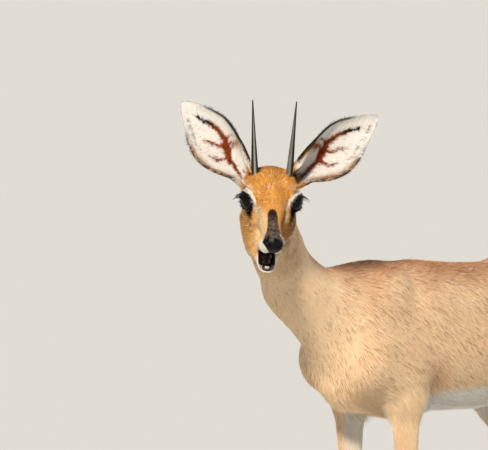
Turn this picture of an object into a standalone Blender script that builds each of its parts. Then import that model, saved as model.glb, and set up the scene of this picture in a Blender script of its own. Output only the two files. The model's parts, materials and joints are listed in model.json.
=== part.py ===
"""Steenbok ram, life size, standing and looking over its left side with its mouth open.

The animal faces +X, its left side is +Y and +Z is up. The origin is on the floor under the middle of
the whole animal's box. Lengths in this file are centimetres until an object is made.

The flesh is one smooth body: bones and muscles are balls and tapers with named places and sizes,
blended into each other. It is meshed region by region and parted into nodes with thin cuts.
"""

import math

import bmesh
import bpy
import numpy as np
from mathutils import Matrix, Vector

CM = 0.01
GAP = 0.03
LEFT, RIGHT = 1.0, -1.0

# Where the legs leave the trunk. The withers stand 49.5 high and the chest's floor 31.
ELBOW_X = 11.2
HIP_X = -15.0

# Where the head is and how it is turned: the middle between the eyes, and the turn to its left
EYES_MIDDLE = Vector((37.23, 6.57, 57.5))
HEAD_TURN = math.radians(44.5)
HEAD_DROP = math.radians(22.0)
HEAD_ROLL = math.radians(-2.6)

# The lower jaw hangs open and is swung to the animal's right, as when it chews
JAW_HINGE = Vector((-3.6, 0.0, -1.6))
JAW_OPEN = math.radians(15.5)
JAW_SWING = -0.36

EYE_RADIUS = 1.36
EYE_PLACE = Vector((-0.15, 2.22, 0.2))
EYE_LOOK = Vector((0.60, 0.79, 0.12)).normalized()

HORN_LENGTH = 9.15
HORN_BASE_RADIUS = 0.47
HORN_TIP_RADIUS = 0.07
HORN_LEAN = math.radians(31.0)
HORN_SPREAD = math.radians(3.6)

EAR_LENGTH = 11.5


def head_matrix():
    turn = Matrix.Rotation(HEAD_TURN, 4, "Z") @ Matrix.Rotation(HEAD_DROP, 4, "Y")
    return Matrix.Translation(EYES_MIDDLE) @ turn @ Matrix.Rotation(HEAD_ROLL, 4, "X")


def jaw_matrix():
    opened = Matrix.Rotation(JAW_OPEN, 4, "Y")
    swing = Matrix.Translation((0.0, JAW_SWING, 0.0))
    return head_matrix() @ swing @ Matrix.Translation(JAW_HINGE) @ opened @ Matrix.Translation(-JAW_HINGE)


FRAMES = {"world": Matrix.Identity(4), "head": head_matrix(), "jaw": jaw_matrix()}


# Shapes of the flesh. Each knows its signed distance, roughly, and the balls that fill it.


def turned(pitch=0.0, yaw=0.0, roll=0.0):
    spin = Matrix.Rotation(math.radians(yaw), 3, "Z") @ Matrix.Rotation(math.radians(pitch), 3, "Y")
    return spin @ Matrix.Rotation(math.radians(roll), 3, "X")


def ball(centre, radii, blend=1.0, frame="world", **turn):
    radii = (radii,) * 3 if isinstance(radii, (int, float)) else radii
    return {
        "kind": "ball",
        "centre": np.array(centre, float),
        "radii": np.array(radii, float),
        "spin": np.array(turned(**turn)),
        "blend": blend,
        "frame": frame,
        "middle": np.array(centre, float),
        "reach": max(radii),
    }


def taper(start, end, start_radius, end_radius, blend=1.0, frame="world", width=1.0, side=(0, 1, 0)):
    """A round-ended taper. width stretches it along side, across its own line."""
    start, end, side = (np.array(v, float) for v in (start, end, side))
    return {
        "kind": "taper",
        "start": start,
        "end": end,
        "radii": (start_radius, end_radius),
        "width": width,
        "side": side / np.linalg.norm(side),
        "blend": blend,
        "frame": frame,
        "middle": (start + end) / 2,
        "reach": np.linalg.norm(end - start) / 2 + max(start_radius, end_radius) * max(1.0, width),
    }


def ring(centre, axis, upright, radii, thickness, blend=0.2, frame="head"):
    """An oval rim such as an eyelid. radii are its half length and half height."""
    axis = Vector(axis).normalized()
    long_way = Vector(upright).cross(axis).normalized()
    spin = np.array((long_way, axis.cross(long_way), axis)).T
    return {
        "kind": "ring",
        "centre": np.array(centre, float),
        "radii": radii,
        "thickness": thickness,
        "spin": spin,
        "blend": blend,
        "frame": frame,
        "middle": np.array(centre, float),
        "reach": max(radii) + thickness,
    }


def ball_gap(shape, points):
    local = (points - shape["centre"]) @ shape["spin"]
    scaled = np.linalg.norm(local / shape["radii"], axis=1)
    steep = np.linalg.norm(local / shape["radii"] ** 2, axis=1)
    return scaled * (scaled - 1.0) / np.maximum(steep, 1e-6)


def taper_gap(shape, points):
    start, end, (r_start, r_end) = shape["start"], shape["end"], shape["radii"]
    along = end - start
    length2 = along @ along
    offset = points - start
    y = offset @ along
    across = offset - np.outer(y / length2, along)
    if shape["width"] != 1.0:
        sideways = across @ shape["side"]
        across = across - np.outer(sideways * (1.0 - 1.0 / shape["width"]), shape["side"])
    drop = r_start - r_end
    slope = length2 - drop * drop
    x2 = (across * across).sum(axis=1) * length2 * length2
    z = y - length2
    y2, z2 = y * y * length2, z * z * length2
    side_test = np.sign(drop) * drop * drop * x2
    gap = (np.sqrt(x2 * slope / length2) + y * drop) / length2 - r_start
    gap = np.where(np.sign(z) * slope * z2 > side_test, np.sqrt(x2 + z2) / length2 - r_end, gap)
    return np.where(np.sign(y) * slope * y2 < side_test, np.sqrt(x2 + y2) / length2 - r_start, gap)


def ring_gap(shape, points):
    local = (points - shape["centre"]) @ shape["spin"]
    flat = local[:, :2] / shape["radii"]
    reach = np.linalg.norm(flat, axis=1)
    off_rim = (reach - 1.0) * min(shape["radii"])
    return np.hypot(off_rim, local[:, 2]) - shape["thickness"]


GAPS = {"ball": ball_gap, "taper": taper_gap, "ring": ring_gap}
FAR = 60.0
LOOK_ROUND = 5.0


def nearby_gap(shape, points):
    """The shape's distance, worked out only for the points near it."""
    near = np.linalg.norm(points - shape["middle"], axis=1) < shape["reach"] + LOOK_ROUND
    gap = np.full(len(points), FAR)
    if near.any():
        gap[near] = GAPS[shape["kind"]](shape, points[near])
    return gap


def blended(a, b, reach):
    both = np.maximum(reach - np.abs(a - b), 0.0)
    return np.minimum(a, b) - both * both / (4.0 * reach)


def flesh_gap(shapes, hollows, points):
    """Signed distance to the blended body: below zero inside."""
    in_frame = {}
    for name, matrix in FRAMES.items():
        inverse = np.array(matrix.inverted())
        in_frame[name] = points @ inverse[:3, :3].T + inverse[:3, 3]
    gap = np.full(len(points), FAR)
    for shape in shapes:
        gap = blended(gap, nearby_gap(shape, in_frame[shape["frame"]]), shape["blend"])
    for shape in hollows:
        gap = -blended(-gap, nearby_gap(shape, in_frame[shape["frame"]]), shape["blend"])
    return gap


# Trunk


def trunk_shapes():
    shapes = [
        ball((7.5, 0, 39.7), (12.6, 5.5, 8.9), 1.5),
        ball((-3.5, 0, 38.7), (12.8, 5.9, 8.0), 3.0),
        taper((6, 0, 43.8), (-12, 0, 43.6), 3.9, 4.0, 3.0, width=1.12),
        ball((-15.5, 0, 43.0), (7.6, 4.9, 5.7), 3.0),
        ball((14.9, 0, 45.4), (6.4, 2.5, 3.8), 3.0),
        ball((16.8, 0, 38.6), (3.6, 3.8, 5.6), 2.8),
        taper((17.2, 0, 35.2), (8.0, 0, 34.0), 2.5, 2.9, 2.8),
    ]
    for side in (LEFT, RIGHT):
        shapes += [
            ball((14.9, 3.2 * side, 42.0), (3.1, 1.9, 6.9), 2.6, pitch=-27),
            ball((17.2, 3.1 * side, 38.2), (2.6, 2.3, 3.0), 2.6),
            taper((16.4, 3.6 * side, 37.4), (11.6, 4.0 * side, 33.8), 2.5, 2.3, 2.4),
            ball((11.6, 4.1 * side, 36.6), (3.3, 1.6, 4.4), 2.4, pitch=20),
            ball((-12.4, 4.2 * side, 45.3), (2.0, 1.1, 1.7), 2.8),
        ]
    return shapes


def neck_shapes():
    return [
        taper((17.0, 0, 41.9), (25.3, 0.1, 46.4), 5.4, 3.75, 2.5, width=0.76),
        taper((25.3, 0.1, 46.4), (30.1, 0.9, 51.7), 3.75, 3.2, 1.5, width=0.82),
        taper((30.1, 0.9, 51.7), (33.3, 2.6, 57.0), 3.2, 2.75, 1.5, width=0.9),
        taper((29.0, 0.5, 49.5), (27.0, 0, 46.9), 2.75, 2.9, 1.5, width=0.95),
        taper((27.0, 0, 46.9), (19.0, 0, 39.4), 2.9, 3.0, 1.6, width=0.95),
    ]


def tail_shapes():
    return [
        taper((-21.0, 0, 45.5), (-24.4, 0, 44.6), 1.5, 1.2, 1.0, width=1.25),
        taper((-24.4, 0, 44.6), (-25.8, 0, 41.4), 1.2, 1.0, 0.9, width=1.35),
        taper((-25.8, 0, 41.4), (-26.0, 0, 39.0), 1.0, 0.45, 0.9, width=1.3),
    ]


# Legs. Each takes where its joints stand, so that the four differ as in a real stance.


def foreleg_shapes(side, elbow, knee, fetlock, toe):
    out = np.array((0.0, side, 0.0))
    elbow, knee, fetlock, toe = (np.array(p, float) for p in (elbow, knee, fetlock, toe))
    shank = elbow * 0.45 + knee * 0.55
    return [
        taper(elbow + (0.2, 0, 1.2), shank, 2.25, 1.4, 1.8, width=0.84),
        taper(shank, knee + (0, 0, 1.4), 1.4, 1.1, 1.0, width=0.92),
        ball(knee + (0.12, 0, 0), (1.15, 1.08, 1.8), 1.2),
        taper(knee - (0.05, 0, 1.0), fetlock + (0, 0, 0.6), 0.95, 0.84, 1.0, width=0.9),
        taper(knee - (0.5, 0, 1.6), fetlock + (-0.35, 0, 0.8), 0.5, 0.5, 0.7),
        ball(fetlock, (1.02, 0.98, 1.1), 1.0),
        taper(fetlock, toe + (0, 0, 0.4), 0.88, 0.98, 1.0, width=1.05),
        taper(toe + out * 0.45, toe + out * 0.5 + (0.7, 0, -0.7), 0.75, 0.62, 0.4),
        taper(toe - out * 0.45, toe - out * 0.5 + (0.7, 0, -0.7), 0.75, 0.62, 0.4),
    ]


def hindleg_shapes(side, stifle, hock, fetlock, toe):
    out = np.array((0.0, side, 0.0))
    stifle, hock, fetlock, toe = (np.array(p, float) for p in (stifle, hock, fetlock, toe))
    hip = np.array((HIP_X, 4.0 * side, 43.5))
    heel = hock + (-1.35, 0, 0.9)
    seat = np.array((-20.9, 3.0 * side, 40.6))
    calf = stifle * 0.45 + hock * 0.55
    thigh = (hip + stifle + seat * 0.6) / 2.6
    return [
        ball(thigh - out * 0.1, (6.3, 2.45, 7.0), 2.2, pitch=-18),
        taper(hip, stifle + (-0.6, 0, 0.2), 3.3, 2.3, 2.0, width=0.72),
        ball(seat, (2.7, 2.1, 5.6), 2.2, pitch=-8),
        taper(seat - (0, 0, 3.5), calf + (-1.0, 0, 1.0), 2.1, 1.35, 2.0, width=0.7),
        taper(stifle + (-0.2, 0, -0.4), calf, 2.25, 1.55, 1.6, width=0.74),
        taper(thigh + (-0.4, 0, -4.0), calf + (0, 0, 1.0), 3.3, 1.6, 2.2, width=0.64),
        taper(calf, hock + (0.2, 0, 1.2), 1.55, 1.05, 1.0, width=0.8),
        taper(calf + (-1.4, 0, 1.5), heel, 0.85, 0.55, 0.9, width=0.75),
        ball(hock, (1.3, 1.02, 1.7), 1.1, pitch=15),
        ball(heel + (0.1, 0, -0.1), (0.72, 0.7, 0.9), 0.8),
        taper(hock + (-0.1, 0, -1.2), fetlock + (0, 0, 1.0), 0.98, 0.84, 0.8, width=0.88),
        taper(hock + (-0.7, 0, -1.4), fetlock + (-0.35, 0, 1.0), 0.55, 0.5, 0.6),
        ball(fetlock, (1.06, 1.0, 1.12), 1.0),
        taper(fetlock, toe + (0, 0, 0.4), 0.9, 1.0, 1.0, width=1.03),
        taper(toe + out * 0.45, toe + out * 0.5 + (0.7, 0, -0.5), 0.75, 0.62, 0.4),
        taper(toe - out * 0.45, toe - out * 0.5 + (0.7, 0, -0.5), 0.75, 0.62, 0.4),
    ]


FORELEGS = {
    "left": (LEFT, (11.2, 4.1, 31.2), (10.8, 3.8, 17.9), (10.4, 3.8, 5.7), (11.3, 3.8, 3.0)),
    "right": (RIGHT, (11.7, -4.1, 31.2), (11.9, -3.8, 17.9), (11.8, -3.8, 5.7), (12.7, -3.8, 3.0)),
}
HINDLEGS = {
    "left": (LEFT, (-7.0, 4.6, 35.2), (-17.6, 4.2, 20.6), (-15.8, 4.1, 5.8), (-14.8, 4.1, 3.0)),
    "right": (RIGHT, (-8.6, -4.6, 35.2), (-21.6, -4.2, 20.8), (-21.6, -4.1, 5.8), (-20.6, -4.1, 3.0)),
}


# Head. Its frame has +X to the nose along the palate, with the origin midway between the eyes.


def eye_in_head(side):
    """The eye's centre and the way it looks."""
    eye = Vector((EYE_PLACE.x, EYE_PLACE.y * side, EYE_PLACE.z))
    return eye, Vector((EYE_LOOK.x, EYE_LOOK.y * side, EYE_LOOK.z))


def head_shapes():
    shapes = [
        ball((-3.4, 0, 0.2), (3.0, 2.55, 2.3), 1.0, "head"),
        ball((-0.9, 0, 0.55), (2.9, 2.2, 1.95), 1.2, "head"),
        ball((-5.2, 0, -0.6), (1.7, 2.1, 2.1), 1.2, "head"),
        taper((0.0, 0, -1.0), (5.6, 0, -2.2), 2.15, 1.2, 1.2, "head", width=0.9),
        taper((0.6, 0, 0.5), (6.35, 0, -1.45), 1.25, 0.74, 0.9, "head"),
        ball((6.7, 0, -2.1), (0.85, 1.22, 0.95), 0.35, "head"),
        taper((-1.5, 0, -3.0), (-4.6, 0, -3.6), 2.0, 2.3, 1.5, "head"),
    ]
    for side in (LEFT, RIGHT):
        eye, look = eye_in_head(side)
        shapes += [
            ball(eye - look * 0.16, 1.40, 0.9, "head"),
            taper((-1.6, 1.7 * side, 1.35), (0.6, 2.5 * side, 0.95), 0.85, 0.5, 0.9, "head"),
            taper((1.0, 1.7 * side, -1.9), (-3.0, 2.1 * side, -1.9), 0.85, 0.85, 0.9, "head"),
            ball((-1.9, 1.85 * side, -2.9), (2.5, 0.9, 2.1), 1.0, "head", pitch=12),
            taper((-1.2, 1.55 * side, -3.2), (2.5, 1.02 * side, -3.75), 1.3, 0.72, 1.0, "head"),
            ball((5.2, 0.88 * side - 0.17, -2.85), (1.8, 0.63, 0.62), 0.5, "head", yaw=-9 * side),
            ball((-4.2, 2.0 * side, 0.6), (1.1, 0.9, 1.0), 1.4, "head"),
            ball((-1.5, 1.75 * side, 1.85), (1.0, 0.8, 0.9), 0.9, "head"),
            ring(eye + look * 0.90, look, (-0.25, 0, 1), (1.16, 0.94), 0.17, 0.3),
        ]
    return shapes


def jaw_shapes():
    """The lower jaw, its lip and chin, and the full cheek of the side that chews."""
    shapes = [
        ball((5.4, 0, -3.9), (1.05, 1.05, 0.6), 0.3, "jaw"),
        ball((1.1, -1.5, -3.5), (2.7, 0.95, 1.35), 1.5, "jaw"),
        taper((-2.0, 0, -4.0), (3.0, 0, -4.15), 1.0, 0.55, 0.9, "jaw", width=1.3),
    ]
    for side in (LEFT, RIGHT):
        shapes += [
            taper((-2.6, 1.6 * side, -3.6), (2.0, 1.05 * side, -4.0), 1.3, 0.75, 1.0, "jaw"),
            taper((2.0, 1.05 * side, -4.0), (5.2, 0.68 * side, -3.72), 0.75, 0.4, 0.4, "jaw"),
        ]
    return shapes


def mouth_rooms():
    """The open mouth: between the lips, along the lower jaw, over the chin and under the palate."""
    return [
        taper((3.1, 0, -3.75), (7.8, 0, -4.6), 0.2, 1.12, 0.25, "head", width=1.2),
        taper((2.9, 0, -3.35), (5.0, 0, -3.25), 0.5, 0.62, 0.2, "jaw", width=1.34),
        ball((5.55, 0, -3.42), (0.86, 0.85, 0.5), 0.15, "jaw"),
        taper((2.9, 0, -3.3), (5.3, 0, -3.3), 0.4, 0.5, 0.25, "head", width=1.3),
    ]


def face_hollows():
    """The cleft of the upper lip, the nostrils and the openings between the lids."""
    hollows = [ball((7.5, 0, -2.8), (0.35, 0.07, 0.5), 0.12, "head")]
    for side in (LEFT, RIGHT):
        eye, look = eye_in_head(side)
        yaw = math.degrees(math.atan2(look.y, look.x))
        hollows += [
            ball((7.35, 0.64 * side, -1.9), (0.55, 0.17, 0.36), 0.1, "head", yaw=-28 * side, roll=35 * side),
            ball(eye + look * 1.25, (0.62, 1.16, 0.92), 0.15, "head", yaw=yaw, pitch=-7, roll=-14 * side),
        ]
    return hollows


# Meshing


def fill_balls(shape):
    """Balls that fill a shape, as matrices for a unit ball in the shape's frame."""
    if shape["kind"] == "ball":
        spin = Matrix(shape["spin"].tolist()).to_4x4()
        return [Matrix.Translation(shape["centre"]) @ spin @ Matrix.Diagonal((*shape["radii"], 1.0))]
    if shape["kind"] == "ring":
        spin, around = Matrix(shape["spin"].tolist()), 16
        places = []
        for step in range(around):
            angle = math.tau * step / around
            rim = Vector((shape["radii"][0] * math.cos(angle), shape["radii"][1] * math.sin(angle), 0))
            place = Vector(shape["centre"]) + spin @ rim
            places.append(Matrix.Translation(place) @ Matrix.Scale(shape["thickness"] * 1.3, 4))
        return places
    start, end = Vector(shape["start"]), Vector(shape["end"])
    r_start, r_end = shape["radii"]
    count = max(2, math.ceil((end - start).length / (0.5 * min(r_start, r_end))) + 1)
    side = Vector(shape["side"])
    wide = Matrix.Scale(shape["width"], 4, side)
    places = []
    for step in range(count):
        share = step / (count - 1)
        radius = r_start + (r_end - r_start) * share
        places.append(Matrix.Translation(start.lerp(end, share)) @ wide @ Matrix.Scale(radius, 4))
    return places


def object_from(name, bm):
    if bm.calc_volume(signed=True) < 0:
        bmesh.ops.reverse_faces(bm, faces=bm.faces[:])
    mesh = bpy.data.meshes.new(name)
    bm.to_mesh(mesh)
    bm.free()
    made = bpy.data.objects.new(name, mesh)
    bpy.context.scene.collection.objects.link(made)
    return made


def with_modifier(obj, kind, **settings):
    """Applies one modifier to the object's mesh."""
    modifier = obj.modifiers.new(kind.title(), kind)
    for key, value in settings.items():
        setattr(modifier, key, value)
    graph = bpy.context.evaluated_depsgraph_get()
    mesh = bpy.data.meshes.new_from_object(obj.evaluated_get(graph))
    obj.modifiers.clear()
    old = obj.data
    obj.data = mesh
    bpy.data.meshes.remove(old)
    return obj


def vertices_of(mesh):
    flat = np.empty(len(mesh.vertices) * 3, np.float32)
    mesh.vertices.foreach_get("co", flat)
    return flat.reshape(-1, 3).astype(float)


def edges_of(mesh):
    flat = np.empty(len(mesh.edges) * 2, np.int32)
    mesh.edges.foreach_get("vertices", flat)
    return flat.reshape(-1, 2)


def neighbours_mean(points, edges):
    total, count = np.zeros_like(points), np.zeros(len(points))
    for a, b in ((0, 1), (1, 0)):
        np.add.at(total, edges[:, a], points[edges[:, b]])
        np.add.at(count, edges[:, a], 1.0)
    return total / np.maximum(count, 1.0)[:, None]


def settle_on(gap_of, points, rounds, longest_step=0.5):
    """Moves points onto the surface where gap_of is zero."""
    step = 0.02
    for _ in range(rounds):
        gap = gap_of(points)
        slope = np.stack([gap_of(points + step * axis) - gap for axis in np.eye(3)], axis=1) / step
        size2 = np.maximum((slope * slope).sum(axis=1), 0.05)
        move = -slope * (gap / size2)[:, None]
        length = np.linalg.norm(move, axis=1, keepdims=True)
        points = points + move * np.minimum(1.0, longest_step / np.maximum(length, 1e-9))
    return points


def filled_object(name, shapes, voxel):
    """One closed mesh round the shapes, without their blends."""
    bm = bmesh.new()
    for shape in shapes:
        frame = FRAMES[shape["frame"]]
        for place in fill_balls(shape):
            bmesh.ops.create_icosphere(bm, subdivisions=2, radius=1.0, matrix=frame @ place)
    obj = object_from(name, bm)
    return with_modifier(obj, "REMESH", mode="VOXEL", voxel_size=voxel, adaptivity=0.0)


def flesh_object(name, seeds, shapes, hollows, voxel, keep_share, rooms=()):
    """One closed mesh of the blended body round the seed shapes, with deep rooms carved out first.
    The voxel is in centimetres."""
    obj = filled_object(name, seeds, voxel)
    if rooms:
        cut_from(obj, filled_object("rooms", rooms, voxel))
        with_modifier(obj, "REMESH", mode="VOXEL", voxel_size=voxel, adaptivity=0.0)
    edges = edges_of(obj.data)
    points = vertices_of(obj.data)

    def gap_of(places):
        return flesh_gap(shapes, hollows, places)

    points = settle_on(gap_of, points, 4)
    for _ in range(3):
        points = points * 0.5 + neighbours_mean(points, edges) * 0.5
        points = settle_on(gap_of, points, 1)
    obj.data.vertices.foreach_set("co", points.astype(np.float32).ravel())
    with_modifier(obj, "DECIMATE", ratio=keep_share)
    return obj


def largest_shell(bm):
    """Keeps only the largest closed surface."""
    left, shells = set(bm.verts), []
    while left:
        stack, shell = [left.pop()], []
        while stack:
            vert = stack.pop()
            shell.append(vert)
            for edge in vert.link_edges:
                other = edge.other_vert(vert)
                if other in left:
                    left.remove(other)
                    stack.append(other)
        shells.append(shell)
    shells.sort(key=len)
    bmesh.ops.delete(bm, geom=[v for shell in shells[:-1] for v in shell], context="VERTS")


def clip(obj, point, normal):
    """Cuts away what lies beyond a plane, less half a gap, and closes the cut."""
    normal = Vector(normal).normalized()
    bm = bmesh.new()
    bm.from_mesh(obj.data)
    bmesh.ops.triangulate(bm, faces=bm.faces[:])
    cut = bmesh.ops.bisect_plane(
        bm,
        geom=bm.verts[:] + bm.edges[:] + bm.faces[:],
        dist=1e-4,
        plane_co=Vector(point) - normal * GAP / 2,
        plane_no=normal,
        clear_outer=True,
    )
    rim = [e for e in cut["geom_cut"] if isinstance(e, bmesh.types.BMEdge)]
    bmesh.ops.holes_fill(bm, edges=rim, sides=0)
    largest_shell(bm)
    bmesh.ops.triangulate(bm, faces=bm.faces[:])
    bm.to_mesh(obj.data)
    bm.free()
    return obj


def volume_of(obj):
    bm = bmesh.new()
    bm.from_mesh(obj.data)
    volume = bm.calc_volume(signed=True)
    bm.free()
    return volume


def cut_from(obj, cutter, least_kept=0.3):
    """Takes the cutter's room out of the object and removes the cutter."""
    whole = obj.data.copy()
    volume = volume_of(obj)
    for solver in ("EXACT", "MANIFOLD"):
        with_modifier(obj, "BOOLEAN", object=cutter, operation="DIFFERENCE", solver=solver)
        bm = bmesh.new()
        bm.from_mesh(obj.data)
        largest_shell(bm)
        bmesh.ops.triangulate(bm, faces=bm.faces[:])
        bm.to_mesh(obj.data)
        bm.free()
        if least_kept < volume_of(obj) / volume < 1.001:
            break
        obj.data = whole.copy()
    bpy.data.objects.remove(cutter)
    return obj


def grown_copy(obj, by):
    """A copy pushed out along its normals, for cutting a neighbour clear of it."""
    copy = obj.copy()
    copy.data = obj.data.copy()
    bpy.context.scene.collection.objects.link(copy)
    points = vertices_of(copy.data)
    normals = np.empty(len(points) * 3, np.float32)
    copy.data.vertex_normals.foreach_get("vector", normals)
    points += normals.reshape(-1, 3) * by
    copy.data.vertices.foreach_set("co", points.astype(np.float32).ravel())
    copy.data.update()
    return copy


# The cuts between the nodes: a point and the way that leads out of the trunk side


def in_head(point):
    return FRAMES["head"] @ Vector(point)


def head_way(way):
    return FRAMES["head"].to_3x3() @ Vector(way)


NECK_BASE = (Vector((21.6, 0.0, 46.2)), Vector((0.80, 0.0, 0.60)))
NAPE = (in_head((-5.2, 0, -2.0)), head_way((0.95, 0, 0.31)))
GAPE = (in_head((3.2, 0, -3.75)), head_way((-0.16, 0, -1.0)))
FORELEG_TOP = (Vector((ELBOW_X, 0.0, 29.7)), Vector((0.0, 0.0, -1.0)))


def thigh_cut(side):
    return Vector((-14.0, 0.6 * side, 35.6)), Vector((-0.42, 0.74 * side, -0.53))


def hoof_cut(toe):
    """The line where the skin meets the horn of the hoof, lower at the heel."""
    return Vector(toe) + Vector((0.2, 0.0, -0.75)), Vector((0.40, 0.0, -1.0))


# Nodes


def flesh_nodes():
    legs = {}
    for where, stance in FORELEGS.items():
        legs["foreleg_" + where] = foreleg_shapes(*stance)
    for where, stance in HINDLEGS.items():
        legs["hindleg_" + where] = hindleg_shapes(*stance)
    trunk, neck, skull, jaw = trunk_shapes(), neck_shapes(), head_shapes(), jaw_shapes()
    rooms = mouth_rooms()
    hollows = rooms + face_hollows()
    body = trunk + neck + [shape for leg in legs.values() for shape in leg] + skull + jaw
    upper_legs = [shape for leg in legs.values() for shape in leg[:4]]
    made = {}

    torso = flesh_object("torso", trunk + neck[:2] + neck[4:] + upper_legs, body, hollows, 0.62, 0.17)
    clip(torso, *NECK_BASE)
    clip(torso, *FORELEG_TOP)
    for side in (LEFT, RIGHT):
        clip(torso, *thigh_cut(side))
    made["torso"] = torso

    neck_object = flesh_object("neck", neck + trunk[4:6] + skull[:3], body, hollows, 0.5, 0.22)
    clip(neck_object, NECK_BASE[0], -NECK_BASE[1])
    clip(neck_object, *NAPE)
    made["neck"] = neck_object

    head = flesh_object("head", skull + jaw + neck[2:3], body, hollows, 0.16, 0.065, rooms)
    clip(head, NAPE[0], -NAPE[1])
    lower_jaw = head.copy()
    lower_jaw.data = head.data.copy()
    lower_jaw.name = "lower_jaw"
    bpy.context.scene.collection.objects.link(lower_jaw)
    clip(head, *GAPE)
    clip(lower_jaw, GAPE[0], -GAPE[1])
    made["head"], made["lower_jaw"] = head, lower_jaw

    for name, shapes in legs.items():
        fore = name.startswith("fore")
        stance = (FORELEGS if fore else HINDLEGS)[name.split("_")[1]]
        leg = flesh_object(name, shapes, body, hollows, 0.33, 0.16 if fore else 0.07)
        if fore:
            clip(leg, FORELEG_TOP[0], -FORELEG_TOP[1])
        else:
            point, normal = thigh_cut(stance[0])
            clip(leg, point, -normal)
        clip(leg, *hoof_cut(stance[-1]))
        made[name] = leg
    return made


# Ears: a sheet rolled into a tube at its root, opening into a leaf. Half widths, and the angles
# through which each edge curls, run from root to tip.

EAR_STATIONS = (0.0, 0.06, 0.14, 0.22, 0.32, 0.44, 0.55, 0.66, 0.78, 0.89, 0.96, 0.985, 1.0)
EAR_INNER_HALF = (1.35, 1.7, 2.0, 2.28, 2.48, 2.76, 2.82, 2.55, 2.0, 1.37, 0.92, 0.68, 0.1)
EAR_OUTER_HALF = (1.15, 1.45, 1.94, 2.48, 2.9, 3.08, 2.88, 2.43, 1.67, 1.07, 0.6, 0.36, 0.1)
EAR_INNER_ROLL = (150, 142, 130, 118, 104, 86, 68, 56, 48, 42, 36, 32, 30)
EAR_OUTER_ROLL = (150, 125, 98, 84, 72, 62, 55, 50, 46, 42, 36, 32, 30)
EAR_ROOT_DEPTH = 1.3
EAR_BOW = 1.26
EAR_THICKNESS = 0.30

# Where each ear grows on the head, the way it points and the way its cup faces
EARS = {
    "left": ((-4.1, 3.03, 1.48), (-0.344, 0.789, 0.510), (0.897, 0.115, 0.426)),
    "right": ((-4.1, -2.86, 1.06), (-0.53, -0.655, 0.539), (0.807, -0.194, 0.558)),
}


def smooth_along(values, share):
    """Reads a table given at EAR_STATIONS, rounded between its entries."""
    return float(np.interp(share, EAR_STATIONS, values))


def ear_frame(where):
    """Root, and unit ways along the ear, out of its cup and across to its outer edge."""
    root, along, facing = EARS[where]
    along = head_way(along).normalized()
    facing = head_way(facing)
    facing = (facing - along * facing.dot(along)).normalized()
    outward = facing.cross(along) if where == "right" else along.cross(facing)
    return in_head(root), along, facing, outward


def ear_point(frame, share, turn, lift):
    """A place on the ear: share of its length, turn from -1 inner edge to 1 outer edge, lift off it."""
    root, along, facing, outward = frame
    half = smooth_along(EAR_OUTER_HALF if turn > 0 else EAR_INNER_HALF, share)
    roll = math.radians(smooth_along(EAR_OUTER_ROLL if turn > 0 else EAR_INNER_ROLL, share))
    radius = half / (math.sin(roll) if roll < math.pi / 2 else 1.0)
    angle = roll * turn
    out = (radius + lift) * math.sin(angle)
    front = radius - (radius + lift) * math.cos(angle)
    bend = EAR_BOW * share * (1.0 - share)
    sunk = -EAR_ROOT_DEPTH * max(0.0, 1.0 - share / 0.06) if share < 0.06 else 0.0
    return root + along * (share * EAR_LENGTH + sunk) + outward * out + facing * (front - bend)


def ear_object(where):
    frame = ear_frame(where)
    across, shares = 12, [0.0, 0.04, 0.08, 0.14, 0.21, 0.3, 0.4, 0.5, 0.6, 0.7, 0.8, 0.89, 0.95, 0.985, 1.0]
    bm = bmesh.new()
    loops = []
    for share in shares:
        thick = EAR_THICKNESS * (1.15 - 0.55 * share) / 2
        loop = [ear_point(frame, share, -1 + 2 * k / across, thick) for k in range(across + 1)]
        loop += [ear_point(frame, share, 1 - 2 * k / across, -thick) for k in range(across + 1)]
        loops.append([bm.verts.new(p) for p in loop])
    for low, high in zip(loops, loops[1:]):
        for k in range(len(low)):
            n = (k + 1) % len(low)
            bm.faces.new((low[k], low[n], high[n], high[k]))
    for loop in (loops[0], loops[-1]):
        last = len(loop) - 1
        for k in range(across):
            bm.faces.new((loop[k], loop[k + 1], loop[last - k - 1], loop[last - k]))
    bmesh.ops.recalc_face_normals(bm, faces=bm.faces[:])
    bmesh.ops.triangulate(bm, faces=bm.faces[:])
    return object_from("ear_" + where, bm)


# Horns: straight spikes, ringed near the root


def horn_axis(side):
    root = Vector((-1.75, 1.95 * side, 2.1))
    lean = Vector((-math.sin(HORN_LEAN), math.sin(HORN_SPREAD) * side, math.cos(HORN_LEAN)))
    return root, lean.normalized()


def horn_radius(share):
    return HORN_BASE_RADIUS + (HORN_TIP_RADIUS - HORN_BASE_RADIUS) * share


def horn_object(where):
    side = LEFT if where == "left" else RIGHT
    root, lean = horn_axis(side)
    turn = Vector((0, 0, 1)).rotation_difference(lean).to_matrix()
    bm, loops, around = bmesh.new(), [], 14
    shares = [0.0, 0.08, 0.12, 0.16, 0.2, 0.24, 0.29, 0.35, 0.5, 0.65, 0.8, 0.92, 1.0]
    for index, share in enumerate(shares):
        ridge = 0.03 if 0 < index < 8 and index % 2 == 0 else 0.0
        radius = horn_radius(share) + ridge
        bend = Vector((0.35 * share * share, 0, 0))
        loop = []
        for k in range(around):
            angle = math.tau * k / around
            rim = Vector((radius * math.cos(angle), radius * 0.94 * math.sin(angle), 0))
            loop.append(bm.verts.new(in_head(root + lean * HORN_LENGTH * share + bend + turn @ rim)))
        loops.append(loop)
    for low, high in zip(loops, loops[1:]):
        for k in range(around):
            n = (k + 1) % around
            bm.faces.new((low[k], low[n], high[n], high[k]))
    bm.faces.new(loops[0][::-1])
    bm.faces.new(loops[-1])
    bmesh.ops.recalc_face_normals(bm, faces=bm.faces[:])
    bmesh.ops.triangulate(bm, faces=bm.faces[:])
    return object_from("horn_" + where, bm)


def eye_centre(side):
    return in_head((EYE_PLACE.x, EYE_PLACE.y * side, EYE_PLACE.z))


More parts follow.
